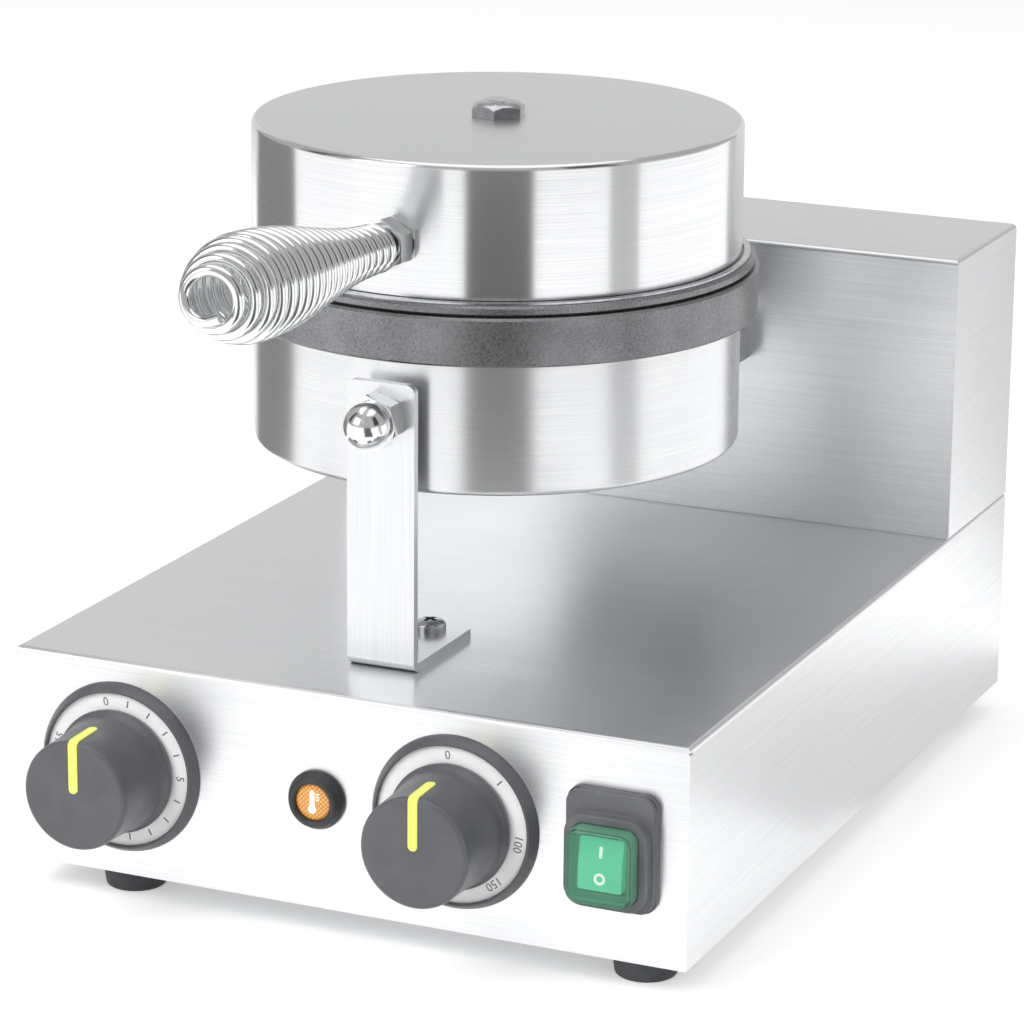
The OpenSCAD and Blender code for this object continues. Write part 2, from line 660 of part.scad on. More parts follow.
module upper_plate() color("#4a4a4c") difference() {
    union() {
        translate([0, pan_y, 0]) {
            rotate_extrude($fn = 144) polygon([[cavity_d / 2, rim_z0 + grid_floor / 2],
                [cavity_d / 2 + grid_floor / 2, rim_z0], [rim_d / 2 - edge_r, rim_z0],
                [rim_d / 2, rim_z0 + edge_r], [rim_d / 2, rim_z1 - edge_r], [rim_d / 2 - edge_r, rim_z1],
                [cavity_d / 2, rim_z1]]);
            rotate_extrude($fn = 144) translate([can_r + bead_h, rim_z1 - over])
                square([bead_w, bead_h + over]);
            difference() {
                translate([0, 0, rim_z0]) cylinder(r = spigot_r, h = casting_top, $fn = 144);
                translate([0, 0, rim_z0 - over]) cylinder(d = cavity_d, h = ceiling_z - rim_z0 + over,
                    $fn = 144);
            }
            translate([0, 0, ceiling_z]) mirror([0, 0, 1]) grid();
        }
        // The hinge lug: a link back from the rim, and its knuckle
        block([-lug_w / 2, pan_y + can_r - 2 * bead_w, rim_z0], [lug_w / 2, link_y, rim_z1]);
        block([-lug_w / 2, link_y, rim_z0], [lug_w / 2, hinge_y, rim_z0 + lug_t]);
        rod_x(2 * (rim_z0 + lug_t - hinge_z), -lug_w / 2, lug_w / 2, hinge_y, hinge_z);
    }
    rod_x(pin_d + 2 * pin_gap, -lug_w, lug_w, hinge_y, hinge_z);
    translate([0, pan_y, ceiling_z + 1.5 * over]) cylinder(d = bolt_d, h = casting_top);
}

// Tubular heaters pressed on the back of each plate by a strip
heater_d = 8;
heater_share = 0.608;
heater_r = heater_share * can_r;
heater_leg = 12;
heater_gap = 26;
module heater() {
    rotate(90 + heater_gap / 2) rotate_extrude(angle = 360 - heater_gap, $fn = 144)
        translate([heater_r, 0]) circle(d = heater_d, $fn = 32);
    for (a = [90 - heater_gap / 2, 90 + heater_gap / 2]) rotate(a) translate([heater_r, 0, -heater_leg]) {
        cylinder(d = heater_d, h = heater_leg, $fn = 32);
        translate([0, 0, heater_leg]) sphere(d = heater_d, $fn = 32);
        translate([0, 0, -heater_d]) cylinder(d = heater_d / 2, h = heater_d, $fn = 32);
    }
}
lower_heater_z = ring_z0 - spigot - heater_d / 2;
upper_heater_z = rim_z0 + casting_top + heater_d / 2;
module lower_heater() color("dimgray") translate([0, pan_y, lower_heater_z]) heater();
module upper_heater() color("dimgray") translate([0, pan_y, upper_heater_z]) mirror([0, 0, 1]) heater();
clamp_over = 10;
clamp_l = 2 * (heater_r + clamp_over);
clamp_w = 26;
clamp_t = 3;
module clamp() difference() {
    block([-clamp_l / 2, -clamp_w / 2, 0], [clamp_l / 2, clamp_w / 2, clamp_t]);
    translate([0, 0, -over]) cylinder(d = bolt_d, h = clamp_t + 2 * over);
}
lower_clamp_z = lower_heater_z - heater_d / 2 - clamp_t;
upper_clamp_z = upper_heater_z + heater_d / 2;
module lower_clamp() color("silver") translate([0, pan_y, lower_clamp_z]) clamp();
module upper_clamp() color("silver") translate([0, pan_y, upper_clamp_z]) clamp();

// Bolts through the cans' middles
bolt_af = 17;
bolt_head = 6;
bolt_nut = 8;
bolt_edge_share = 0.55;
bolt_crown_share = 0.82;
module top_bolt() color("silver") translate([0, pan_y, 0]) {
    translate([0, 0, lid_z1]) bolt_head_shape();
    translate([0, 0, ceiling_z + 1.5 * over]) cylinder(d = bolt_d, h = lid_z1 - ceiling_z - 1.5 * over);
}
module lower_bolt() color("silver") translate([0, pan_y, 0]) {
    translate([0, 0, can_z0]) mirror([0, 0, 1]) bolt_head_shape();
    translate([0, 0, can_z0]) cylinder(d = bolt_d, h = groove_z0 - 1.5 * over - can_z0);
}
// Hexagon head with a low crown
module bolt_head_shape() intersection() {
    rotate(15) linear_extrude(bolt_head) hexagon(bolt_af);
    rotate_extrude() polygon([[0, 0], [bolt_af / cos(30) / 2, 0],
        [bolt_af / cos(30) / 2, bolt_head * bolt_edge_share],
        [bolt_af / 2.2, bolt_head * bolt_crown_share], [bolt_af / 4, bolt_head], [0, bolt_head]]);
}
module ring_nut(z) translate([0, pan_y, z]) difference() {
    nut_blank(bolt_af, bolt_nut);
    translate([0, 0, -over]) cylinder(d = bolt_d, h = bolt_nut + 2 * over);
}
module clamp_nuts_lower() color("silver") ring_nut(lower_clamp_z - bolt_nut);
module clamp_nut_upper() color("silver") ring_nut(upper_clamp_z + clamp_t);

// Thermostat bulb in its saddle under the lower plate
bulb_d = 6;
bulb_length_share = 0.82;
bulb_place_share = 0.35;
bulb_l = bulb_length_share * can_r;
bulb_y = pan_y - bulb_place_share * can_r;
module thermostat_bulb() color("#b87333") rod_x(bulb_d, -bulb_l / 2, bulb_l / 2, bulb_y,
    ring_z0 - spigot - bulb_d / 2);

// Handle: everything on it is drawn along z and then laid on the handle's axis
module handle_axis() translate([0, can_front, handle_z]) rotate([90 - handle_rise, 0, 0]) children();
handle_nut_af = 16;
handle_nut_h = 8.5;
handle_seat = 0.6;
nut_barrel_l = 12;
handle_lock_af = 12;
handle_lock_h = 4;
coil_s0 = handle_seat + handle_nut_h;
module handle_nut() color("silver") handle_axis() difference() {
    union() {
        translate([0, 0, handle_seat]) nut_blank(handle_nut_af, handle_nut_h);
        cylinder(d = coil_root_d - 2 * wire_d - handle_seat, h = coil_s0 + nut_barrel_l);
    }
    translate([0, 0, -over]) cylinder(d = handle_stud_d - 2 * over,
        h = coil_s0 + nut_barrel_l + 2 * over);
    translate([0, 0, -over]) cylinder(r = coil_root_d, h = over + handle_seat);
}
module handle_stud() color("silver") handle_axis() difference() {
    union() {
        translate([0, 0, handle_seat]) cylinder(d = handle_stud_d - 2 * over,
            h = handle_nut_h + nut_barrel_l);
        translate([0, 0, -can_wall - stud_seat]) cylinder(d = handle_stud_d,
            h = can_wall + stud_seat + handle_seat);
        translate([0, 0, -can_wall - stud_seat - handle_lock_h]) nut_blank(handle_lock_af, handle_lock_h);
    }
}

// The coil is one tube swept along a conical helix, straight for one wire
// diameter where it meets the nut and at its free end
coil_sides = 6;
coil_steps = 8;
bulb_share = 0.78;
swell_power = 2.1;
coil_phase = -70;
function coil_outer(t) = t < bulb_share
    ? coil_root_d / 2 + (coil_bulb_d - coil_root_d) / 2 * pow(sin(90 * t / bulb_share), swell_power)
    : coil_tip_d / 2 + (coil_bulb_d - coil_tip_d) / 2 * cos(90 * (t - bulb_share) / (1 - bulb_share));
function coil_point(i, n) =
    let (t = i / n, r = coil_outer(t) - wire_d / 2, a = 360 * coil_curls * t + coil_phase)
    [r * cos(a), r * sin(a), coil_s0 + wire_d + (coil_l - wire_d) * t];
coil_n = coil_curls * coil_steps;
coil_line = concat([coil_point(0, coil_n) - [0, 0, wire_d]],
    [for (i = [0 : coil_n]) coil_point(i, coil_n)],
    [coil_point(coil_n, coil_n) + wire_d * unit(coil_point(coil_n, coil_n) - coil_point(coil_n - 0.2,
        coil_n))]);
function unit(v) = v / norm(v);
// Unit vectors across a tube: one near the given side, one square to it
function tangent(line, i) = unit(line[min(i + 1, len(line) - 1)] - line[max(i - 1, 0)]);
function across(line, i, side) = let (t = tangent(line, i), b = unit(cross(t, side))) [cross(b, t), b];
function tube_ring(line, i, side, r, n) = let (f = across(line, i, side))
    [for (k = [0 : n - 1]) line[i] + r * (cos(360 * k / n) * f[0] + sin(360 * k / n) * f[1])];
// Triangles between rings a and b of n points each, and a fan over one ring
function band(a, b, n) = [for (k = [0 : n - 1]) each [[a * n + k, b * n + (k + 1) % n,
    a * n + (k + 1) % n],
    [a * n + k, b * n + k, b * n + (k + 1) % n]]];
function fan(a, n, turn) = [for (k = [1 : n - 2]) turn ? [a * n, a * n + k + 1, a * n + k] : [a * n,
    a * n + k, a * n + k + 1]];
coil_points = [for (i = [0 : len(coil_line) - 1])
    each tube_ring(coil_line, i, [coil_line[i][0], coil_line[i][1], 0], wire_d / 2, coil_sides)];
coil_faces = concat(fan(0, coil_sides, false), [for (i = [0 : len(coil_line) - 2])
    each band(i, i + 1, coil_sides)],
    fan(len(coil_line) - 1, coil_sides, true));
module handle_coil() color("white") handle_axis() polyhedron(coil_points, coil_faces);
// Least gap of the coil to itself, between points more than half a curl apart
coil_gap = min([for (i = [0 : len(coil_line) - 1], j = [i + coil_steps / 2 + 1 : 1 : min(i + 2 * coil_steps, len(coil_line) - 1)])
    norm(coil_line[i] - coil_line[j])]) - wire_d;

// Conduit: a ribbed hose with its bore, from the lid's gland to the elbow on the housing
gland_lid_d = 13;
gland_lid_l = 10;
lid_gland_bore = 6;
conduit_y0 = pan_y + sqrt(can_r * can_r - conduit_x * conduit_x) + gland_lid_l;
module lid_gland() color("silver") difference() {
    union() {
        rod_y(gland_lid_d, pan_y, conduit_y0, conduit_x, conduit_z);
        translate([conduit_x, conduit_y0 - gland_lid_l / 2, conduit_z]) rotate([-90, 0, 0])
            nut_blank(gland_lid_d + edge_r, gland_lid_l / 2 - edge_r);
    }
    translate([0, pan_y, rim_z1]) cylinder(r = can_r, h = upper_can_h, $fn = 144);
    rod_y(lid_gland_bore, pan_y, conduit_y0 + over, conduit_x, conduit_z);
}
elbow_y = conduit_y0 + conduit_d + conduit_bend;
elbow_top = elbow_z + elbow_w;
module conduit_elbow() color("silver") difference() {
    union() {
        block([conduit_x - elbow_w / 2, elbow_y, elbow_z - elbow_w / 2],
            [conduit_x + elbow_w / 2, housing_y, elbow_z + elbow_w / 2]);
        translate([conduit_x, elbow_y, elbow_z - elbow_w / 2])
            cylinder(d = elbow_w, h = elbow_top - elbow_z + elbow_w / 2);
    }
    translate([conduit_x, elbow_y, elbow_z]) cylinder(d = elbow_bore, h = elbow_w + over);
    rod_y(elbow_bore, elbow_y, housing_y + over, conduit_x, elbow_z);
}
rib_pitch = 2.6;
rib_depth = 0.7;
conduit_wall = 1.4;
conduit_sides = 8;
arc_l = PI / 2 * conduit_bend;
drop_l = conduit_z - conduit_bend - elbow_top;
conduit_l = conduit_d + arc_l + drop_l;
// Point at a distance s along the route: straight back, a quarter bend, straight down
function route(s) = s < conduit_d ? [conduit_x, conduit_y0 + s, conduit_z]
    : s < conduit_d + arc_l ? let (a = (s - conduit_d) / arc_l * 90)
        [conduit_x, conduit_y0 + conduit_d + conduit_bend * sin(a),
            conduit_z - conduit_bend * (1 - cos(a))]
    : [conduit_x, elbow_y, conduit_z - conduit_bend - (s - conduit_d - arc_l)];
ribs = floor(conduit_l / rib_pitch);
hose_line = [for (i = [0 : 2 * ribs]) route(conduit_l * i / (2 * ribs))];
hose_outer = [for (i = [0 : 2 * ribs]) each tube_ring(hose_line, i, [1, 0, 0],
    conduit_d / 2 - (i % 2) * rib_depth, conduit_sides)];
hose_inner = [for (i = [0 : 2 * ribs]) each tube_ring(hose_line, i, [1, 0, 0],
    conduit_d / 2 - conduit_wall, conduit_sides)];
hose_rings = 2 * ribs + 1;
// The inner skin's rings follow the outer skin's, with their faces turned in
function flipped(faces) = [for (f = faces) [f[0], f[2], f[1]]];
hose_faces = concat([for (i = [0 : hose_rings - 2]) each band(i, i + 1, conduit_sides)],
    flipped([for (i = [0 : hose_rings - 2]) each band(hose_rings + i, hose_rings + i + 1,
        conduit_sides)]),
    flipped(band(0, hose_rings, conduit_sides)), band(hose_rings - 1, 2 * hose_rings - 1, conduit_sides));
module conduit() color("silver") polyhedron(concat(hose_outer, hose_inner), hose_faces);

// Dials: a dark dished ring on the panel with a silver scale on it
dial_h = 4;
dial_land = 1.2;
scale_t = 0.6;
dial_floor = 2;
module dial(x) translate([x, 0, control_z]) rotate([90, 0, 0]) rotate_extrude()
    polygon([[dial_hole_d / 2, 0], [dial_d / 2, 0], [dial_d / 2 - edge_r / 2, dial_land],
        [scale_d / 2 + edge_r, dial_h], [scale_d / 2, dial_h], [scale_d / 2, dial_floor],
            [dial_hole_d / 2, dial_floor]]);
module scale_ring(x) translate([x, 0, control_z]) rotate([90, 0, 0]) translate([0, 0, dial_floor])
    difference() {
    cylinder(d = scale_d, h = scale_t);
    translate([0, 0, -over]) cylinder(d = knob_face_d, h = scale_t + 2 * over);
}
// Knobs: a short skirt, a tapering side and a rounded front edge
knob_gap = 0.6;
knob_y0 = dial_floor + scale_t + knob_gap;
skirt_h = 4;
face_r = 3;
shaft_d = 6;
shaft_seat = 14;
waist = 1.6;
function knob_side(out) = concat(
    [[knob_skirt_d / 2 + out, knob_y0], [knob_skirt_d / 2 + out, knob_y0 + skirt_h - edge_r],
     [knob_skirt_d / 2 - edge_r + out, knob_y0 + skirt_h],
         [knob_skirt_d / 2 - waist + out, knob_y0 + skirt_h + edge_r]],
    [for (i = [0 : 6]) let (a = i * 15) [knob_face_d / 2 - face_r + (face_r + out) * cos(a),
        knob_reach - face_r + (face_r + out) * sin(a)]]);
module knob(x) translate([x, 0, control_z]) rotate([90, 0, 0]) difference() {
    rotate_extrude() polygon(concat([[0, knob_y0]], knob_side(0), [[0, knob_reach]]));
    translate([0, 0, -over]) cylinder(d = shaft_d, h = knob_y0 + shaft_seat + over);
}
// Pointer: a thin line that runs over the face's edge and down the side
pointer_w = 3.4;
pointer_t = 0.35;
pointer_y0 = 17.5;
module pointer(x) translate([x, 0, control_z]) rotate([90, 0, 0]) intersection() {
    difference() {
        rotate_extrude() polygon(concat([[0, knob_y0]], knob_side(pointer_t),
            [[0, knob_reach + pointer_t]]));
        rotate_extrude() polygon(concat([[0, 0], [knob_skirt_d / 2, 0]], knob_side(0),
            [[0, knob_reach]]));
    }
    union() {
        translate([-pointer_w / 2, 0, pointer_y0]) cube([pointer_w, knob_skirt_d, knob_reach]);
        translate([0, 0, pointer_y0]) cylinder(d = pointer_w, h = knob_reach);
    }
}
shaft_l = 12;
shaft_gap = 0.05;
bush_l = 8;
module shaft(x) rod_y(shaft_d, -knob_y0 - shaft_seat, sheet + shaft_l, x, control_z);
// Control bodies behind the panel, each with a threaded bush through it
module bush(x) rod_y(dial_hole_d, -bush_front, sheet + over, x, control_z);
control_nut_t = 1;
bush_front = dial_floor + control_nut_t;
module shaft_bore(x) rod_y(shaft_d + 2 * shaft_gap, -bush_l, sheet + shaft_l + over, x, control_z);
timer_body_d = 48;
timer_body_l = 36;
tab_w = 6.3;
tab_t = 0.8;
tab_l = 8;
module timer_dial() color("#3a3a3c") dial(timer_x);
module timer_scale() color("lightgray") scale_ring(timer_x);
module timer_knob() color("#3f4042") knob(timer_x);
module timer_pointer() color("#e9f27a") pointer(timer_x);
module timer_shaft() color("silver") shaft(timer_x);
module timer_body() color("#d8d2c4") difference() {
    union() {
        rod_y(timer_body_d, sheet, sheet + timer_body_l, timer_x, control_z);
        bush(timer_x);
        for (i = [-1, 1]) translate([timer_x + i * timer_body_d / 4, sheet + timer_body_l, control_z])
            block([-tab_w / 2, -over, -tab_t / 2], [tab_w / 2, tab_l, tab_t / 2]);
    }
    shaft_bore(timer_x);
}
thermostat_body_w = 38;
thermostat_body_h = 44;
thermostat_body_l = 30;
module thermostat_dial() color("#3a3a3c") dial(thermostat_x);
module thermostat_scale() color("lightgray") scale_ring(thermostat_x);
module thermostat_knob() color("#3f4042") knob(thermostat_x);
module thermostat_pointer() color("#e9f27a") pointer(thermostat_x);
module thermostat_shaft() color("silver") shaft(thermostat_x);
module thermostat_body() color("#d8d2c4") difference() {
    union() {
        translate([thermostat_x, 0, control_z]) plate_y(sheet, sheet + thermostat_body_l)
            rounded(thermostat_body_w, thermostat_body_h, face_r);
        bush(thermostat_x);
        for (i = [-1, 1]) translate([thermostat_x + i * thermostat_body_w / 4,
            sheet + thermostat_body_l, control_z])
            block([-tab_w / 2, -over, -tab_t / 2], [tab_w / 2, tab_l, tab_t / 2]);
    }
    shaft_bore(thermostat_x);
}
// Thin nuts that hold the bushes against the dials' floors
control_nut_d = 16;
module control_nuts() color("silver") for (x = [timer_x, thermostat_x]) difference() {
    rod_y(control_nut_d, -bush_front, -dial_floor, x, control_z);
    rod_y(dial_hole_d, -bush_front - over, over, x, control_z);
}

// Pilot lamp
pilot_h = 5;
pilot_body_l = 26;
lens_rise = 1;
lens_seat = 3;
bezel_round_shares = [0.6, 0.75];
module pilot_bezel() color("#2f2f31") translate([pilot_x, 0, control_z]) rotate([90, 0, 0])
    rotate_extrude()
    polygon(concat([[lens_d / 2, 0], [pilot_d / 2, 0], [pilot_d / 2, pilot_h / 4]],
        [for (i = [1 : 6]) [pilot_d / 2 - pilot_h * bezel_round_shares[0] * (1 - cos(i * 15)),
            pilot_h / 4 + pilot_h * bezel_round_shares[1] * sin(i * 15)]],
        [[lens_d / 2, pilot_h - edge_r]]));
module pilot_lens() color("orange") translate([pilot_x, 0, control_z]) rotate([90, 0, 0]) rotate_extrude()
    polygon(concat([[0, 0], [lens_d / 2, 0], [lens_d / 2, lens_seat]],
        [for (i = [1 : 5]) [lens_d / 2 * cos(i * 18), lens_seat + lens_rise * sin(i * 18)]]));
module pilot_body() color("#d8d2c4") {
    rod_y(pilot_hole_d, 0, sheet, pilot_x, control_z);
    rod_y(pilot_hole_d - 2 * edge_r, sheet, pilot_body_l, pilot_x, control_z);
    for (i = [-1, 1]) translate([pilot_x + i * pilot_hole_d / 5, pilot_body_l, control_z])
        block([-tab_t / 2, -over, -tab_w / 4], [tab_t / 2, tab_l, tab_w / 4]);
}

// Switch: a rubber frame, a clear cover over a rocker, and the body behind. The
// frame's flange is level with the other controls, and all else sits lower
switch_r = 5;
switch_base_t = 2;
frame_step = 2.8;
frame_reach = 8;
cover_wall = 1.2;
cover_r = 4;
rocker_w = 15.4;
rocker_h = 17.8;
rocker_front = 12.4;
rocker_back = 1;
trunnion_d = 3;
trunnion_y = 4;
module at_switch(y0, y1) translate([switch_x, 0, switch_z]) plate_y(-y1, -y0) children();
module switch_frame() color("#38383a") difference() {
    union() {
        translate([0, 0, switch_drop]) {
            at_switch(0, switch_base_t) rounded(switch_w, switch_h, switch_r);
            at_switch(switch_base_t, frame_reach / 2)
                rounded(switch_w - edge_r, switch_h - edge_r, switch_r);
        }
        at_switch(frame_reach / 2, frame_reach)
            rounded(cover_w + 2 * frame_step, cover_h + 2 * frame_step, cover_r + frame_step);
    }
    at_switch(-over, frame_reach + over) rounded(cover_w, cover_h, cover_r);
}
module switch_cover() color("seagreen", 0.6) difference() {
    union() {
        at_switch(0, cover_reach - cover_wall) rounded(cover_w, cover_h, cover_r);
        at_switch(cover_reach - cover_wall, cover_reach)
            rounded(cover_w - 2 * edge_r, cover_h - 2 * edge_r, cover_r);
    }
    at_switch(-over, cover_reach - cover_wall) rounded(cover_w - 2 * cover_wall,
        cover_h - 2 * cover_wall, cover_r - cover_wall);
}
// The rocker turns about its trunnions; at rest its upper side is pressed in
rocker_sweep = 1.2;
module switch_rocker() color("mediumseagreen") translate([switch_x, -trunnion_y, switch_z])
    rotate([-rocker_tilt / 2, 0, 0]) {
        intersection() {
            plate_x(-rocker_w / 2, rocker_w / 2) translate([trunnion_y, 0]) polygon([
                [rocker_back, -rocker_h / 2 + trunnion_d], [-rocker_front + rocker_sweep, -rocker_h / 2],
                [-rocker_front + rocker_sweep / 2, 0], [-rocker_front + rocker_sweep, rocker_h / 2],
                [rocker_back, rocker_h / 2 - trunnion_d]]);
            plate_y(-rocker_front, rocker_front) rounded(rocker_w, rocker_h, edge_r);
        }
        rod_x(trunnion_d, -rocker_w / 2 - cover_wall, rocker_w / 2 + cover_wall);
    }
body_w = 21.6;
body_h = 29.6;
body_l = 24;
ear_t = 1.4;
ear_gap = 0.3;
module switch_body() color("#2b2b2b") difference() {
    union() {
        at_switch(-body_l, -sheet) square([body_w, body_h], center = true);
        at_switch(-sheet, 0) square([cutout_w, cutout_h], center = true);
        for (side = [-1, 1]) translate([switch_x + side * (rocker_w / 2 + ear_gap + ear_t / 2), 0,
            switch_z])
            plate_x(-ear_t / 2, ear_t / 2) translate([-trunnion_y - trunnion_d, -2 * trunnion_d])
                square([trunnion_y + trunnion_d + over, 4 * trunnion_d]);
        for (z = [-1, 1], x = [-1, 1]) translate([switch_x + x * body_w / 4, body_l,
            switch_z + z * body_h / 4])
            block([-tab_w / 2, -over, -tab_t / 2], [tab_w / 2, tab_l, tab_t / 2]);
    }
    at_switch(-3 * rocker_back, over) square([rocker_w + 2 * ear_gap, body_h - 2 * ear_t], center = true);
    rod_x(trunnion_d + 2 * shaft_gap, switch_x - rocker_w, switch_x + rocker_w, -trunnion_y, switch_z);
}

// Place of the row's origin, from the handle's end to the gland's
front_y = can_front + min([for (p = coil_points) p[1] * sin(handle_rise) - p[2] * cos(handle_rise)]);
origin_y = (front_y + gland_end) / 2;
module place() translate([0, -origin_y, foot_h]) children();
echo(coil_gap = coil_gap, front_y = front_y, origin_y = origin_y,
    hinge = [0, hinge_y - origin_y, hinge_z + foot_h],
    timer = [timer_x, -origin_y, control_z + foot_h],
        thermostat = [thermostat_x, -origin_y, control_z + foot_h],
    rocker = [switch_x, -trunnion_y - origin_y, switch_z + foot_h], pan = [0, pan_y - origin_y],
    gland = [gland_x, gland_end - origin_y, gland_z + foot_h], elbow_top = elbow_top + foot_h,
    elbow_y = elbow_y - origin_y, ceiling = ceiling_z + foot_h, lid_top = lid_z1 + foot_h);

place() base_shell();
place() bottom_plate();
place() bottom_screws();
place() feet();
place() foot_screws();
place() rear_housing();
place() back_cover();
place() cover_screws();
place() cable_gland();
place() gland_nut();
place() front_strip();
place() strip_screws();
place() can_spacers();
place() pan_studs();
place() stud_nuts();
place() cap_nut();
place() hinge_bracket();
place() hinge_bolts();
place() wire_sleeve();
place() hinge_pin();
place() pin_clips();
place() lower_can();
place() lower_plate();
place() lower_heater();
place() lower_clamp();
place() lower_bolt();
place() thermostat_bulb();
place() upper_can();
place() upper_plate();
place() upper_heater();
place() upper_clamp();
place() top_bolt();
place() clamp_nuts_lower();
place() clamp_nut_upper();
place() handle_nut();
place() handle_stud();
place() handle_coil();
place() lid_gland();
place() conduit();
place() conduit_elbow();
place() timer_dial();
place() timer_scale();
place() timer_knob();
place() timer_pointer();
place() timer_shaft();
place() timer_body();
place() thermostat_dial();
place() thermostat_scale();
place() thermostat_knob();
place() thermostat_pointer();
place() thermostat_shaft();
place() thermostat_body();
place() control_nuts();
place() pilot_bezel();
place() pilot_lens();
place() pilot_body();
place() switch_frame();
place() switch_cover();
place() switch_rocker();
place() switch_body();
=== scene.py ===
"""Countertop waffle maker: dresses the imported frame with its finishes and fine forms.

All sizes are in millimetres in the body frame of the machine, as in the part's
source: x from the middle, y back from the front panel, z up from the base's
lower edge. Body frame points become metres in the row frame in one place.
"""
import logging
import math
from contextlib import contextmanager
from dataclasses import dataclass, field
from enum import Enum
from typing import Any, Iterator, Mapping, Sequence

import bmesh
import bpy
import numpy as np
from mathutils import Matrix, Vector


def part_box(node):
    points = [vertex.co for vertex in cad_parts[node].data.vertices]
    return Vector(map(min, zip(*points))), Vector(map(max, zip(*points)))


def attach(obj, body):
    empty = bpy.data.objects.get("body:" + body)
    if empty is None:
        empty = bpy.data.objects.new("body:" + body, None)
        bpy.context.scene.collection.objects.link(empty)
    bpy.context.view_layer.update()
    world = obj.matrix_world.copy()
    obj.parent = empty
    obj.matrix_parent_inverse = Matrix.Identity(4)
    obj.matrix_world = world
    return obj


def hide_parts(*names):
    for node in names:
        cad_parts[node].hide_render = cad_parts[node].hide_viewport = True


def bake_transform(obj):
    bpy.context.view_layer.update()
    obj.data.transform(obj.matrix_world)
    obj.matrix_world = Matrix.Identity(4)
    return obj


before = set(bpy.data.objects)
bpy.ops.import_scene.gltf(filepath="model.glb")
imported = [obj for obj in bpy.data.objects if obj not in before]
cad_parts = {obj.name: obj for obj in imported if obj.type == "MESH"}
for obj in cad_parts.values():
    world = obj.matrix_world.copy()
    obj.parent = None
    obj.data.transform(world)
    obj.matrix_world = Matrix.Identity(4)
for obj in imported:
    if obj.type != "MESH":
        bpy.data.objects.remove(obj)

LOG = logging.getLogger("waffle_maker")
MM = 0.001
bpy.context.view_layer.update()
SHELL_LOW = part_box("base_shell")[0]
BODY_ORIGIN = np.array([0.0, SHELL_LOW.y, SHELL_LOW.z])


# ---------------------------------------------------------------- geometry


def put(name: str, data: bpy.types.ID) -> bpy.types.Object:
    """Makes an object of a mesh, curve, camera or lamp and links it to the scene."""
    made = bpy.data.objects.new(name, data)
    bpy.context.scene.collection.objects.link(made)
    return made


@contextmanager
def edited(mesh: bpy.types.Mesh) -> Iterator[bmesh.types.BMesh]:
    """Opens a mesh for editing and writes it back at the end."""
    work = bmesh.new()
    work.from_mesh(mesh)
    yield work
    work.to_mesh(mesh)
    work.free()


def vectors(items: bpy.types.bpy_prop_collection, name: str) -> np.ndarray:
    """Reads a vector of every vertex or face, as items by three.

    Args:
        items: a mesh's vertices or polygons.
        name: the vector, such as co, normal or center.

    Returns:
        An array of items by three.
    """
    flat = np.zeros(len(items) * 3)
    items.foreach_get(name, flat)
    return flat.reshape(-1, 3)


def placed(points: np.ndarray) -> np.ndarray:
    """Turns body-frame millimetres into row-frame metres.

    Args:
        points: array whose last axis is x, y, z in millimetres.

    Returns:
        The same points in metres in the row frame.
    """
    return np.asarray(points, float) * MM + BODY_ORIGIN


def grid_faces(rows: int, columns: int, closed_rows: bool, closed_columns: bool) -> np.ndarray:
    """Quads over a grid of points, as four index arrays side by side.

    Args:
        rows: number of points along the first parameter.
        columns: number of points along the second parameter.
        closed_rows: whether the last row joins the first.
        closed_columns: whether the last column joins the first.

    Returns:
        An array of faces with four corner indices each.
    """
    i = np.arange(rows if closed_rows else rows - 1)[:, None]
    j = np.arange(columns if closed_columns else columns - 1)[None, :]
    i1, j1 = (i + 1) % rows, (j + 1) % columns
    corners = [i * columns + j, i * columns + j1, i1 * columns + j1, i1 * columns + j]
    return np.stack([np.broadcast_to(c, (i.size, j.size)).ravel() for c in corners], axis=1)


def rounded_path(corners: Sequence[tuple[float, float, float]], steps: int = 6,
                 closed: bool = False) -> np.ndarray:
    """A path through corners, each one rounded by an arc that touches both its sides.

    Each arc starts at r / tan(half the corner's angle) from the corner and its
    centre lies on the corner's bisector.

    Args:
        corners: (first, second, radius) for each corner, radius 0 for a sharp one.
        steps: segments in each arc.
        closed: whether the path ends where it starts.

    Returns:
        An array of points in the path's plane.
    """
    plane = np.array([c[:2] for c in corners], float)
    made: list[np.ndarray] = []
    for index, (_, _, radius) in enumerate(corners):
        here = plane[index]
        ends = not closed and index in (0, len(corners) - 1)
        if radius <= 0 or ends:
            made.append(here[None])
            continue
        before = plane[index - 1] - here
        after = plane[(index + 1) % len(plane)] - here
        u, v = before / np.linalg.norm(before), after / np.linalg.norm(after)
        half = math.acos(float(np.clip(u @ v, -1, 1))) / 2
        reach = min(radius / math.tan(half), 0.49 * np.linalg.norm(before), 0.49 * np.linalg.norm(after))
        true_radius = reach * math.tan(half)
        bisector = (u + v) / np.linalg.norm(u + v)
        centre = here + bisector * true_radius / math.sin(half)
        start, end = here + u * reach - centre, here + v * reach - centre
        span = math.pi - 2 * half
        t = np.linspace(0, 1, steps + 1)[:, None]
        arc = (np.sin((1 - t) * span) * start + np.sin(t * span) * end) / math.sin(span)
        made.append(centre + arc)
    return np.concatenate(made)


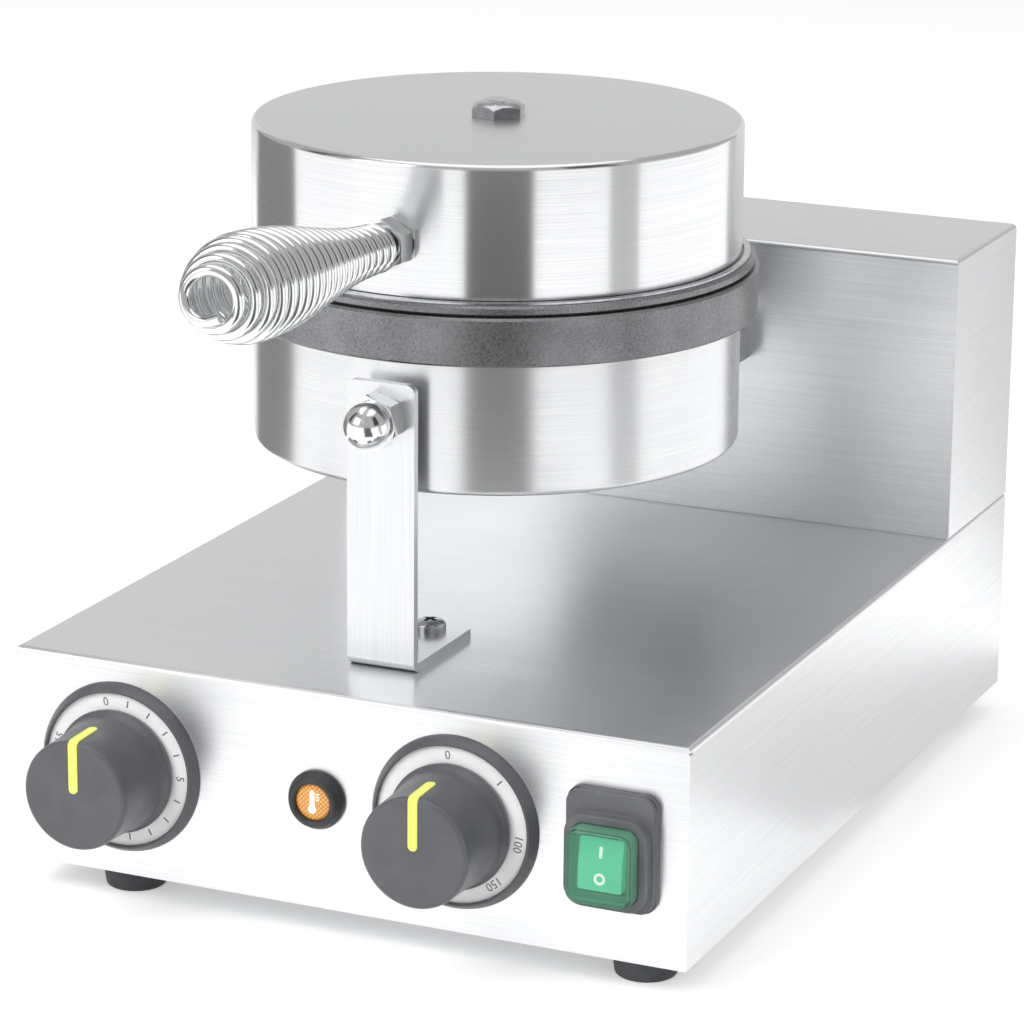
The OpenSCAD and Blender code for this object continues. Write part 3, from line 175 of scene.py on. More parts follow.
def revolved(profile: np.ndarray, centre: Sequence[float], axis: Sequence[float],
             turns: int = 144) -> np.ndarray:
    """Carries a profile round an axis: point = centre + axis * height + ring(angle) * radius.

    Args:
        profile: (radius, height) for each row.
        centre: where the axis starts, in body millimetres.
        axis: the direction of the axis.
        turns: columns round the axis.

    Returns:
        Points as rows by columns by x, y, z in body millimetres.
    """
    along = np.array(axis, float) / np.linalg.norm(axis)
    side = np.array([1.0, 0.0, 0.0]) if abs(along[0]) < 0.9 else np.array([0.0, 0.0, 1.0])
    side = side - along * (side @ along)
    side /= np.linalg.norm(side)
    other = np.cross(along, side)
    angle = np.linspace(0, 2 * np.pi, turns, endpoint=False)[None, :, None]
    ring = np.cos(angle) * side + np.sin(angle) * other
    radius, height = profile[:, 0][:, None, None], profile[:, 1][:, None, None]
    return np.asarray(centre, float) + along * height + ring * radius


def swept(path: np.ndarray, side: np.ndarray, radius: np.ndarray, columns: int) -> np.ndarray:
    """A round tube along a path: each ring lies square to the path's tangent.

    Args:
        path: points of the middle line.
        side: for each point, a vector that the ring's first column leans towards.
        radius: the tube's radius at each point.
        columns: points in a ring.

    Returns:
        Points as rows by columns by x, y, z.
    """
    tangent = np.gradient(path, axis=0)
    tangent /= np.linalg.norm(tangent, axis=1, keepdims=True)
    b = np.cross(tangent, side)
    b /= np.linalg.norm(b, axis=1, keepdims=True)
    a = np.cross(b, tangent)
    angle = np.linspace(0, 2 * np.pi, columns, endpoint=False)[None, :, None]
    ring = np.cos(angle) * a[:, None, :] + np.sin(angle) * b[:, None, :]
    return path[:, None, :] + ring * radius[:, None, None]


def surface_piece(name: str, points: np.ndarray, closed_rows: bool = False, closed_columns: bool = True,
                  sharp: float = 40.0, flip: bool = False) -> bpy.types.Object:
    """Makes an object from a grid of body-frame points, with poles closed and faces outwards.

    The UV map runs in metres: u is the column's distance round the widest row,
    v is the distance along the rows.

    Args:
        name: the piece's name.
        points: rows by columns by x, y, z in body millimetres.
        closed_rows: whether the last row joins the first.
        closed_columns: whether the last column joins the first.
        sharp: edges that bend by more degrees than this stay crisp.
        flip: turns the faces over.

    Returns:
        The new object, linked to the scene.
    """
    rows, columns = points.shape[:2]
    row_frame = placed(points).reshape(-1, 3)
    faces = grid_faces(rows, columns, closed_rows, closed_columns)
    across = np.linalg.norm(np.diff(np.concatenate([points, points[:, :1]], axis=1), axis=1), axis=2)
    widest = across.sum(axis=1).max() * MM
    u_step = widest / columns
    middle = points[:, 0] * MM
    v_rows = np.concatenate([[0.0], np.cumsum(np.linalg.norm(np.diff(middle, axis=0), axis=1))])
    i, j = faces[:, 0] // columns, faces[:, 0] % columns
    i1 = faces[:, 2] // columns
    v0, v1 = v_rows[i], np.where(i1 == 0, v_rows[-1] + 1e-4, v_rows[i1])
    u0, u1 = j * u_step, (j + 1) * u_step
    uv = np.stack([np.stack(pair, 1) for pair in ((u0, v0), (u1, v0), (u1, v1), (u0, v1))], axis=1)
    if flip:
        faces, uv = faces[:, ::-1], uv[:, ::-1]
    mesh = bpy.data.meshes.new(name)
    mesh.from_pydata(row_frame.tolist(), [], faces.tolist())
    mesh.uv_layers.new(name="Surface").data.foreach_set("uv", uv.astype(np.float32).ravel())
    return finished_mesh(name, mesh, sharp)


def finished_mesh(name: str, mesh: bpy.types.Mesh, sharp: float, merge: float = 1e-7) -> bpy.types.Object:
    """Merges doubles, drops faces of no area, shades the mesh and puts it in the scene.

    Args:
        name: the piece's name.
        mesh: the mesh to finish.
        sharp: edges that bend by more degrees than this stay crisp.
        merge: distance in metres within which points become one.

    Returns:
        The new object.
    """
    with edited(mesh) as work:
        bmesh.ops.remove_doubles(work, verts=work.verts, dist=merge)
        bmesh.ops.dissolve_degenerate(work, edges=work.edges, dist=1e-8)
    mesh.shade_smooth()
    mesh.set_sharp_from_angle(angle=math.radians(sharp))
    return put(name, mesh)


def skin_of(node: str, sharp: float = 30.0, bevel: float = 0.0) -> bpy.types.Object:
    """A merged and smooth-shaded copy of a CAD node, with its edges broken if asked.

    Args:
        node: the CAD node's name.
        sharp: edges that bend by more degrees than this stay crisp.
        bevel: width of the broken edges in millimetres, or 0 for none.

    Returns:
        The copy, named after the node.
    """
    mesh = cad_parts[node].data.copy()
    mesh.materials.clear()
    with edited(mesh) as work:
        bmesh.ops.remove_doubles(work, verts=work.verts, dist=2e-6)
        if bevel > 0:
            bmesh.ops.dissolve_limit(work, angle_limit=math.radians(0.5), verts=work.verts, edges=work.edges)
    # The CAD mesh brings its own normals, which no longer fit the merged corners
    stale = mesh.attributes.get("custom_normal")
    if stale is not None:
        mesh.attributes.remove(stale)
    mesh.name = f"{node}_skin"
    mesh.shade_smooth()
    mesh.set_sharp_from_angle(angle=math.radians(sharp))
    piece = put(f"{node}_skin", mesh)
    if bevel > 0:
        broken = piece.modifiers.new("broken_edges", "BEVEL")
        broken.width = bevel * MM
        broken.segments = 2
        broken.limit_method = "ANGLE"
        broken.angle_limit = math.radians(30)
        broken.harden_normals = True
    even = piece.modifiers.new("even_flats", "WEIGHTED_NORMAL")
    even.keep_sharp = True
    even.weight = 100
    even.mode = "FACE_AREA"
    return piece


# ---------------------------------------------------------------- finishes


def linear(hex_colour: str) -> tuple[float, float, float, float]:
    """Turns an sRGB hex colour into linear red, green, blue and alpha."""
    parts = np.array([int(hex_colour[i:i + 2], 16) / 255 for i in (1, 3, 5)])
    values = np.where(parts <= 0.04045, parts / 12.92, ((parts + 0.055) / 1.055) ** 2.4)
    return (float(values[0]), float(values[1]), float(values[2]), 1.0)


def add_node(tree: bpy.types.NodeTree, kind: str, settings: Mapping[str, Any] | None = None,
             inputs: Mapping[Any, Any] | None = None) -> bpy.types.Node:
    """Adds a node with its settings and its inputs.

    Args:
        tree: the tree to add to.
        kind: the node's type name.
        settings: attributes of the node.
        inputs: by socket name or number, a value or the output socket that feeds it.

    Returns:
        The new node.
    """
    node = tree.nodes.new(kind)
    for key, value in (settings or {}).items():
        setattr(node, key, value)
    for key, value in (inputs or {}).items():
        if isinstance(value, bpy.types.NodeSocket):
            tree.links.new(value, node.inputs[key])
        else:
            node.inputs[key].default_value = value
    return node


def set_ramp(ramp: bpy.types.Node, stops: Sequence[tuple[float, str]]) -> None:
    """Gives a colour ramp its stops.

    Args:
        ramp: the ramp node.
        stops: (position, sRGB hex) from left to right.
    """
    band = ramp.color_ramp
    while len(band.elements) < len(stops):
        band.elements.new(0.5)
    for element, (position, colour) in zip(band.elements, stops):
        element.position = position
        element.color = linear(colour)


def open_material(name: str) -> tuple[bpy.types.Material, bpy.types.NodeTree, bpy.types.Node, bpy.types.Node]:
    """A new material whose tree has a principled shader and its output.

    Args:
        name: the material's name.

    Returns:
        The material, its tree, the shader node and a texture coordinate node.
    """
    material = bpy.data.materials.new(name)
    material.use_nodes = True
    tree = material.node_tree
    tree.nodes.clear()
    output = add_node(tree, "ShaderNodeOutputMaterial")
    shader = add_node(tree, "ShaderNodeBsdfPrincipled")
    tree.links.new(shader.outputs["BSDF"], output.inputs["Surface"])
    return material, tree, shader, add_node(tree, "ShaderNodeTexCoord")


def wire_surface(tree: bpy.types.NodeTree, shader: bpy.types.Node, tint: bpy.types.NodeSocket,
                 height: bpy.types.NodeSocket, stops: Sequence[tuple[float, str]],
                 roughness: tuple[float, float], relief: tuple[float, float]) -> bpy.types.NodeSocket:
    """Gives a shader its two-tone colour, uneven roughness and fine relief.

    Args:
        tree: the material's tree.
        shader: its principled shader.
        tint: the socket that mixes the colours.
        height: the socket that varies roughness and relief.
        stops: (position, sRGB hex) of the colours.
        roughness: the roughness at the pattern's low and high places.
        relief: the bump's strength and its distance in metres.

    Returns:
        The socket that carries the roughness.
    """
    colour = add_node(tree, "ShaderNodeValToRGB", inputs={"Fac": tint})
    set_ramp(colour, stops)
    rough = add_node(tree, "ShaderNodeMapRange", inputs={
        "Value": height, "From Min": 0.3, "From Max": 0.7, "To Min": roughness[0], "To Max": roughness[1]})
    bump = add_node(tree, "ShaderNodeBump", inputs={
        "Height": height, "Strength": relief[0], "Distance": relief[1]})
    for socket, node in {"Base Color": colour, "Roughness": rough, "Normal": bump}.items():
        tree.links.new(node.outputs[0], shader.inputs[socket])
    return rough.outputs[0]


class Grain(Enum):
    """The way that the brushing of a sheet runs."""

    ACROSS = (1.0, 0.0, 0.0)
    BACK = (0.0, 1.0, 0.0)
    UPRIGHT = (0.0, 0.0, 1.0)
    ROUND = (0.0, 0.0, 0.0)


@dataclass(frozen=True)
class BrushedStainless:
    """Cold-rolled stainless sheet, belt-brushed: fine parallel scratches.

    The scratches smear each reflection across themselves, so the highlight is
    stretched at right angles to the grain.
    """

    name: str
    grain: Grain
    light: str = "#f0f1f2"
    dark: str = "#e2e3e5"
    roughness: float = 0.27
    stretch: float = 0.6
    # Real scratches stand about 0.05 mm apart; these are drawn coarser, to show
    scratch_mm: float = 0.32
    length_mm: float = 60.0
    relief: float = 0.045

    def build(self) -> bpy.types.Material:
        """Builds the material."""
        material, tree, shader, coordinates = open_material(self.name)
        fine, long = 1 / (self.scratch_mm * MM), 1 / (self.length_mm * MM)
        if self.grain is Grain.ROUND:
            source, scale = coordinates.outputs["UV"], (long, fine, 1.0)
            tangent = add_node(tree, "ShaderNodeTangent", {"direction_type": "UV_MAP", "uv_map": "Surface"})
            direction = tangent.outputs[0]
        else:
            source = coordinates.outputs["Object"]
            scale = tuple(long if along else fine for along in self.grain.value)
            run = add_node(tree, "ShaderNodeCombineXYZ", inputs=dict(enumerate(self.grain.value)))
            direction = run.outputs[0]
        spread = add_node(tree, "ShaderNodeMapping", inputs={"Vector": source, "Scale": scale})
        scratches = add_node(tree, "ShaderNodeTexNoise", inputs={
            "Vector": spread.outputs[0], "Scale": 1.0, "Detail": 6.0, "Roughness": 0.65})
        rough = wire_surface(tree, shader, scratches.outputs[0], scratches.outputs[0],
                             [(0.30, self.dark), (0.66, self.light)],
                             (self.roughness + 0.03, self.roughness - 0.03), (self.relief, 0.00006))
        # Handling leaves broad patches that are a little duller
        cloud = add_node(tree, "ShaderNodeTexNoise", inputs={"Vector": source, "Scale": 22.0, "Detail": 2.0})
        worn = add_node(tree, "ShaderNodeMath", {"operation": "MULTIPLY_ADD"}, {
            0: cloud.outputs[0], 1: 0.06, 2: rough})
        tree.links.new(worn.outputs[0], shader.inputs["Roughness"])
        tree.links.new(direction, shader.inputs["Tangent"])
        shader.inputs["Metallic"].default_value = 1.0
        shader.inputs["Anisotropic"].default_value = self.stretch
        shader.inputs["Anisotropic Rotation"].default_value = 0.25
        return material


@dataclass(frozen=True)
class PlainMetal:
    """A turned, pressed or plated metal: an even sheen with faint cloudiness."""

    name: str
    light: str
    dark: str
    roughness: float
    cloud_mm: float = 6.0
    relief: float = 0.03

    def build(self) -> bpy.types.Material:
        """Builds the material."""
        material, tree, shader, coordinates = open_material(self.name)
        cloud = add_node(tree, "ShaderNodeTexNoise", inputs={
            "Vector": coordinates.outputs["Object"], "Scale": 1 / (self.cloud_mm * MM), "Detail": 4.0})
        wire_surface(tree, shader, cloud.outputs[0], cloud.outputs[0], [(0.3, self.dark), (0.7, self.light)],
                     (self.roughness * 0.8, self.roughness * 1.2), (self.relief, 0.0001))
        shader.inputs["Metallic"].default_value = 1.0
        return material


@dataclass(frozen=True)
class CastCoating:
    """Cast iron under a baked non-stick coat: dark grey with a fine sand-cast tooth."""

    name: str = "coated_cast_iron"
    light: str = "#929395"
    dark: str = "#6c6d6f"
    # The sand's grain is about 0.3 mm; it is drawn at 0.7 mm, to show
    grain_mm: float = 0.7

    def build(self) -> bpy.types.Material:
        """Builds the material."""
        material, tree, shader, coordinates = open_material(self.name)
        grain = add_node(tree, "ShaderNodeTexNoise", inputs={
            "Vector": coordinates.outputs["Object"], "Scale": 1 / (self.grain_mm * MM), "Detail": 3.0,
            "Roughness": 0.6})
        patch = add_node(tree, "ShaderNodeTexNoise", inputs={
            "Vector": coordinates.outputs["Object"], "Scale": 60.0, "Detail": 3.0})
        mixed = add_node(tree, "ShaderNodeMath", {"operation": "MULTIPLY_ADD"}, {
            0: patch.outputs[0], 1: 0.5, 2: grain.outputs[0]})
        wire_surface(tree, shader, mixed.outputs[0], grain.outputs[0],
                     [(0.55, self.dark), (0.95, self.light)], (0.24, 0.40), (0.22, 0.0002))
        shader.inputs["Metallic"].default_value = 0.8
        return material


@dataclass(frozen=True)
class Moulding:
    """A moulded plastic, rubber or ceramic: one colour with the mould's fine texture."""

    name: str
    light: str
    dark: str
    roughness: float
    texture_mm: float = 0.5
    relief: float = 0.08
    alpha: float = 1.0
    glow: float = 0.0

    def build(self) -> bpy.types.Material:
        """Builds the material."""
        material, tree, shader, coordinates = open_material(self.name)
        texture = add_node(tree, "ShaderNodeTexNoise", inputs={
            "Vector": coordinates.outputs["Object"], "Scale": 1 / (self.texture_mm * MM), "Detail": 3.0})
        broad = add_node(tree, "ShaderNodeTexNoise", inputs={
            "Vector": coordinates.outputs["Object"], "Scale": 90.0, "Detail": 2.0})
        wire_surface(tree, shader, broad.outputs[0], texture.outputs[0],
                     [(0.3, self.dark), (0.7, self.light)],
                     (self.roughness * 0.9, self.roughness * 1.1), (self.relief, 0.0001))
        shader.inputs["IOR"].default_value = 1.5
        shader.inputs["Alpha"].default_value = self.alpha
        if self.glow > 0:
            shader.inputs["Emission Color"].default_value = linear(self.light)
            shader.inputs["Emission Strength"].default_value = self.glow
        return material


@dataclass(frozen=True)
class LampLens:
    """Amber polycarbonate over a lit neon lamp, with a fine pyramid grid inside."""

    name: str = "amber_lens"
    # dark is painted shade for the grid's grooves, light is the colour of its pyramids
    light: str = "#f0b050"
    dark: str = "#b06a20"
    grid_mm: float = 1.15
    x_mm: float = -9.0
    z_mm: float = 39.0

    def build(self) -> bpy.types.Material:
        """Builds the material."""
        material, tree, shader, coordinates = open_material(self.name)
        centre = placed(np.array([self.x_mm, 0.0, self.z_mm]))
        centred = add_node(tree, "ShaderNodeMapping", {"vector_type": "TEXTURE"}, {
            "Vector": coordinates.outputs["Object"], "Location": tuple(centre),
            "Scale": (self.grid_mm * MM,) * 3, "Rotation": (0.0, math.radians(45), 0.0)})
        split = add_node(tree, "ShaderNodeSeparateXYZ", inputs={0: centred.outputs[0]})
        waves = [add_node(tree, "ShaderNodeMath", {"operation": "PINGPONG"}, {
            0: split.outputs[k], 1: 0.5}).outputs[0] for k in (0, 2)]
        height = add_node(tree, "ShaderNodeMath", {"operation": "MINIMUM"}, {0: waves[0], 1: waves[1]})
        # Painted shade: the grid's grooves are coloured darker than its pyramids, and the lamp's glow takes
        # the same colours, so the grooves glow less
        colour = add_node(tree, "ShaderNodeValToRGB", inputs={"Fac": height.outputs[0]})
        set_ramp(colour, [(0.02, self.dark), (0.30, self.light)])
        bump = add_node(tree, "ShaderNodeBump", inputs={
            "Height": height.outputs[0], "Strength": 0.5, "Distance": 0.0004})
        for socket in ("Base Color", "Emission Color"):
            tree.links.new(colour.outputs[0], shader.inputs[socket])
        tree.links.new(bump.outputs[0], shader.inputs["Normal"])
        shader.inputs["Roughness"].default_value = 0.2
        shader.inputs["IOR"].default_value = 1.58
        shader.inputs["Emission Strength"].default_value = 0.25
        shader.inputs["Coat Weight"].default_value = 0.6
        return material


class Finish(Enum):
    """Every finish on the machine, by what the real one is."""

    # Brushed sheet: soft mirror images, smeared across the scratches
    SHEET_ACROSS = BrushedStainless("brushed_stainless_across", Grain.ACROSS)
    SHEET_BACK = BrushedStainless("brushed_stainless_back", Grain.BACK)
    SHEET_UPRIGHT = BrushedStainless("brushed_stainless_upright", Grain.UPRIGHT)
    # Spun cans: the grain runs round, so bright and dark bands stand upright on them
    CAN_SIDE = BrushedStainless(
        "spun_stainless_side", Grain.ROUND, roughness=0.17, stretch=0.85, scratch_mm=0.4)
    LOWER_CAN = BrushedStainless(
        "spun_stainless_pan", Grain.ROUND, roughness=0.27, stretch=0.8, scratch_mm=0.4)
    CAN_TOP = BrushedStainless(
        "satin_stainless_top", Grain.ACROSS, roughness=0.34, stretch=0.3, relief=0.04,
        light="#eaebec", dark="#e0e1e2")
    # Plated parts: chrome mirrors sharply, zinc is duller and faintly clouded
    CHROME = PlainMetal("polished_chrome", "#f1f2f3", "#e6e7e8", 0.13, relief=0.01)
    BRIGHT = PlainMetal("bright_zinc_steel", "#d2d3d5", "#b4b5b8", 0.22, 3.0, 0.06)
    ZINC = PlainMetal("zinc_coated_sheet", "#b4b7ba", "#94979b", 0.42, 9.0, 0.08)
    # Baked enamel: even, nearly white, with a soft sheen
    SCALE = Moulding("silver_white_enamel", "#fcfcfd", "#f6f6f7", 0.35, 0.5, 0.03)
    # Heat and drawing marks: blotched brown sheath, warm copper
    SHEATH = PlainMetal("heat_darkened_steel", "#5b5650", "#3c3834", 0.5, 8.0, 0.1)
    COPPER = PlainMetal("drawn_copper", "#c8805a", "#9c5a3a", 0.3, 5.0, 0.05)
    # A gritty dark coat that catches light at grazing angles
    CAST = CastCoating()
    # Moulded knobs and dials: satin, with a fine spark-eroded texture
    KNOB = Moulding("satin_grey_abs", "#5c5d60", "#545558", 0.3, 0.45, 0.04)
    DIAL = Moulding("dark_grey_abs", "#5a5b5e", "#515255", 0.34, 0.45, 0.05)
    POINTER = Moulding("lime_plastic", "#f3f67a", "#ecf06a", 0.4, 0.5, 0.02)
    # Ink: flat and matt; the white marks are lit from behind
    PRINT = Moulding("grey_print", "#7c7d80", "#6d6e71", 0.6, 0.3, 0.02)
    WHITE_PRINT = Moulding("white_print", "#fbfbf8", "#f0f0ec", 0.5, 0.3, 0.02, glow=0.5)
    # Rubber and nylon: matt to satin dark greys
    RUBBER = Moulding("moulded_rubber", "#4a4b4e", "#3d3e41", 0.6, 0.6, 0.15)
    FRAME = Moulding("soft_grey_rubber", "#6a6b6e", "#5f6063", 0.5, 0.6, 0.1)
    NYLON = Moulding("black_nylon", "#3a3b3e", "#2c2d2f", 0.45, 0.5, 0.08)
    LENS = LampLens()
    # The switch: a see-through cover, denser where it is seen edge on, over a lit rocker
    COVER = Moulding("clear_green_cover", "#6fb594", "#64aa88", 0.1, 4.0, 0.0, alpha=0.22)
    COVER_EDGE = Moulding("clear_green_edge", "#74ab90", "#679e83", 0.15, 4.0, 0.0, alpha=0.72)
    ROCKER = Moulding("lit_green_rocker", "#62d3a4", "#57c99a", 0.25, 1.0, 0.01, glow=0.32)
    SURROUND = Moulding("dark_green_moulding", "#5b8670", "#507b65", 0.45, 0.5, 0.05)
    # Plain housings of the controls, behind the panel
    CASING = Moulding("cream_moulding", "#d9d2c2", "#c6bfae", 0.5, 0.8, 0.08)


class Shop:
    """Builds each finish once and puts it on pieces."""

    made: dict[Finish, bpy.types.Material] = {}

    @classmethod
    def get(cls, finish: Finish) -> bpy.types.Material:
        """The material of a finish, built when it is first asked for."""
        if finish not in cls.made:
            cls.made[finish] = finish.value.build()
        return cls.made[finish]

    @classmethod
    def dress(cls, piece: bpy.types.Object, finish: Finish) -> None:
        """Puts one finish over a whole piece."""
        piece.data.materials.clear()
        piece.data.materials.append(cls.get(finish))

    @classmethod
    def dress_faces(cls, piece: bpy.types.Object, finish: Finish, faces: np.ndarray) -> None:
        """Puts a second finish on the faces of a dressed piece that a mask picks."""
        piece.data.materials.append(cls.get(finish))
        piece.data.polygons.foreach_set("material_index", faces.astype(np.int32))


def settle(piece: bpy.types.Object, finish: Finish, body: str, slot: str, *nodes: str) -> bpy.types.Object:
    """Dresses a finished piece, hangs it on its body and lets it stand for its nodes.

    Args:
        piece: the piece.
        finish: its finish.
        body: the body that it rides on.
        slot: the record's material slot; not used.
        nodes: the CAD nodes that it replaces.

    Returns:
        The piece.
    """
    Shop.dress(piece, finish)
    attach(piece, body)
    if nodes:
        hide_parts(*nodes)
    LOG.info("piece %s on %s, %d faces", piece.name, body, len(piece.data.polygons))
    return piece


# ---------------------------------------------------------------- sub-assemblies


@dataclass
class Cabinet:
    """The folded base and rear housing, their back cover and the feet."""

    grain_limit: float = 0.7
    foot_xs: tuple[float, float] = (-90.0, 103.0)
    foot_ys: tuple[float, float] = (20.0, 310.0)
    foot_height: float = 11.0
    foot_radius: float = 12.0
    foot_taper: float = 1.5
    plate: float = 1.0
    head_bore: float = 5.5
    screw_bore: float = 2.5
    web: float = 3.0

    def folded(self, node: str) -> None:
        """Dresses a folded sheet; the grain turns with each side that it folds to."""
        piece = skin_of(node)
        settle(piece, Finish.SHEET_ACROSS, "base", "stainless_sheet", node)
        Shop.dress_faces(piece, Finish.SHEET_BACK,
                         np.abs(vectors(piece.data.polygons, "normal")[:, 0]) > self.grain_limit)

    def foot_profile(self) -> np.ndarray:
        """The foot's section: a tapered outside, a screw recess from below and a web."""
        top = self.foot_height - self.plate
        return rounded_path([
            (self.screw_bore, top - self.web, 0), (self.head_bore, top - self.web, 0.5),
            (self.head_bore, 0, 0.6), (self.foot_radius - self.foot_taper, 0, 1.2),
            (self.foot_radius, top, 0.5), (self.screw_bore, top, 0)], closed=True)

    def build(self) -> None:
        """Builds and dresses every piece of the cabinet."""
        for node in ("base_shell", "rear_housing", "back_cover"):
            self.folded(node)
        profile = self.foot_profile()
        feet = [revolved(profile, (x, y, -self.foot_height), (0, 0, 1), 72)
                for x in self.foot_xs for y in self.foot_ys]
        pieces = [surface_piece(f"foot_{i}", points, closed_rows=True) for i, points in enumerate(feet)]
        for piece in pieces:
            settle(piece, Finish.RUBBER, "base", "rubber", "feet")


@dataclass
class Pan:
    """The cans, baking plates and their strip."""

    middle_y: float = 124.0
    can_radius: float = 85.5
    wall: float = 1.0
    crown: float = 2.0
    lower_z: tuple[float, float] = (138.0, 184.0)
    upper_z: tuple[float, float] = (204.5, 251.0)
    bead: tuple[float, float] = (86.2, 88.6)

    def can_profile(self, height: float) -> np.ndarray:
        """A cup's section from its pole, over its crown, down the side and back inside."""
        r, t = self.can_radius, self.wall
        return rounded_path([(0, height, 0), (r, height, self.crown), (r, 0, 0.15), (r - t, 0, 0.15),
                             (r - t, height - t, self.crown - t), (0, height - t, 0)], steps=8)

    def can(self, name: str, body: str, node: str, base: float, up: int, height: float) -> None:
        """Builds one can and gives its flat end its own finish."""
        points = revolved(self.can_profile(height), (0, self.middle_y, base), (0, 0, up), 288)
        piece = surface_piece(name, points, flip=True)
        finish = Finish.CAN_SIDE if body == "lid" else Finish.LOWER_CAN
        settle(piece, finish, body, "stainless_can", node)
        Shop.dress_faces(piece, Finish.CAN_TOP, np.abs(vectors(piece.data.polygons, "normal")[:, 2]) > 0.9)

    def build(self) -> None:
        """Builds and dresses every piece of the pan."""
        low, high = self.lower_z, self.upper_z
        self.can("lower_can_shell", "base", "lower_can", low[1], -1, low[1] - low[0])
        self.can("upper_can_shell", "lid", "upper_can", high[0], 1, high[1] - high[0])
        for node, body in (("lower_plate", "base"), ("upper_plate", "lid")):
            plate = settle(skin_of(node, 25), Finish.CAST, body, "cast_plate", node)
            off = (vectors(plate.data.polygons, "center") - placed(np.array([0.0, self.middle_y, 0.0]))) / MM
            radius = np.hypot(off[:, 0], off[:, 1])
            turned = (radius > self.bead[0]) & (radius < self.bead[1]) & (off[:, 2] > self.upper_z[0] - 0.05)
            Shop.dress_faces(plate, Finish.BRIGHT, turned)
        strip = skin_of("front_strip", 25, 0.25)
        settle(strip, Finish.SHEET_UPRIGHT, "base", "stainless_sheet", "front_strip")


@dataclass
class CoilHandle:
    """The coil of chromed wire and the nut that it grips."""

    root: tuple[float, float, float] = (0.0, 38.5, 223.0)
    rise: float = 4.0
    start: float = 9.1
    length: float = 122.0
    wire: float = 4.0
    root_radius: float = 8.5
    bulb_radius: float = 17.75
    tip_radius: float = 8.8
    curls: int = 21
    phase: float = -70.0
    bulb_share: float = 0.78
    swell: float = 2.1
    cap: float = 0.82
    steps: int = 56
    columns: int = 16

    def outline(self, t: np.ndarray) -> np.ndarray:
        """Outside radius: a power of a sine out to the bulb, then a cosine in to the tip."""
        out = np.sin(np.pi / 2 * np.clip(t / self.bulb_share, 0, 1)) ** self.swell
        back = np.cos(np.pi / 2 * np.clip((t - self.bulb_share) / (1 - self.bulb_share), 0, 1))
        return np.where(t < self.bulb_share, self.root_radius + (self.bulb_radius - self.root_radius) * out,
                        self.tip_radius + (self.bulb_radius - self.tip_radius) * back)

    def middle_line(self) -> np.ndarray:
        """The wire's middle: a helix inside the outline, straight for one wire at each end."""
        t = np.linspace(0, 1, self.curls * self.steps + 1)
        radius, angle = self.outline(t) - self.wire / 2, 2 * np.pi * self.curls * t + math.radians(self.phase)
        line = np.stack([radius * np.cos(angle), radius * np.sin(angle),
                         self.start + self.wire + (self.length - self.wire) * t], axis=1)
        last = (line[-1] - line[-2]) / np.linalg.norm(line[-1] - line[-2])
        lead = line[0] - np.array([0, 0, 1.0]) * self.wire * np.linspace(1, 0.15, 5)[:, None]
        tail = line[-1] + last * self.wire * np.linspace(0.2, 1, 5)[:, None]
        return np.concatenate([lead, line, tail])

    def laid(self, points: np.ndarray) -> np.ndarray:
        """Turns points on the handle's own axis to the handle's place."""
        a = math.radians(90 - self.rise)
        turn = np.array([[1, 0, 0], [0, math.cos(a), -math.sin(a)], [0, math.sin(a), math.cos(a)]])
        return points @ turn.T + np.array(self.root)

    def build(self) -> None:
        """Builds and dresses the handle."""
        line = self.middle_line()
        side = line * np.array([1.0, 1.0, 0.0])
        radius = np.full(len(line), self.wire / 2)
        tube = swept(line, side, radius, self.columns)
        first, last, ahead = tube[0].mean(0), tube[-1].mean(0), (tube[-1:] - tube[-2:-1]) * 0.1
        head = [first + (tube[:1] - first) * share for share in (0.0, self.cap)]
        tail = [last + (tube[-1:] - last) * share + ahead for share in (self.cap, 0.0)]
        points = np.concatenate([*head, tube, *tail])
        points = self.laid(points.reshape(-1, 3)).reshape(points.shape)
        piece = surface_piece("handle_coil_wire", points, sharp=50)
        settle(piece, Finish.CHROME, "lid", "chrome", "handle_coil")
        settle(skin_of("handle_nut", 25, 0.2), Finish.CHROME, "lid", "chrome", "handle_nut")


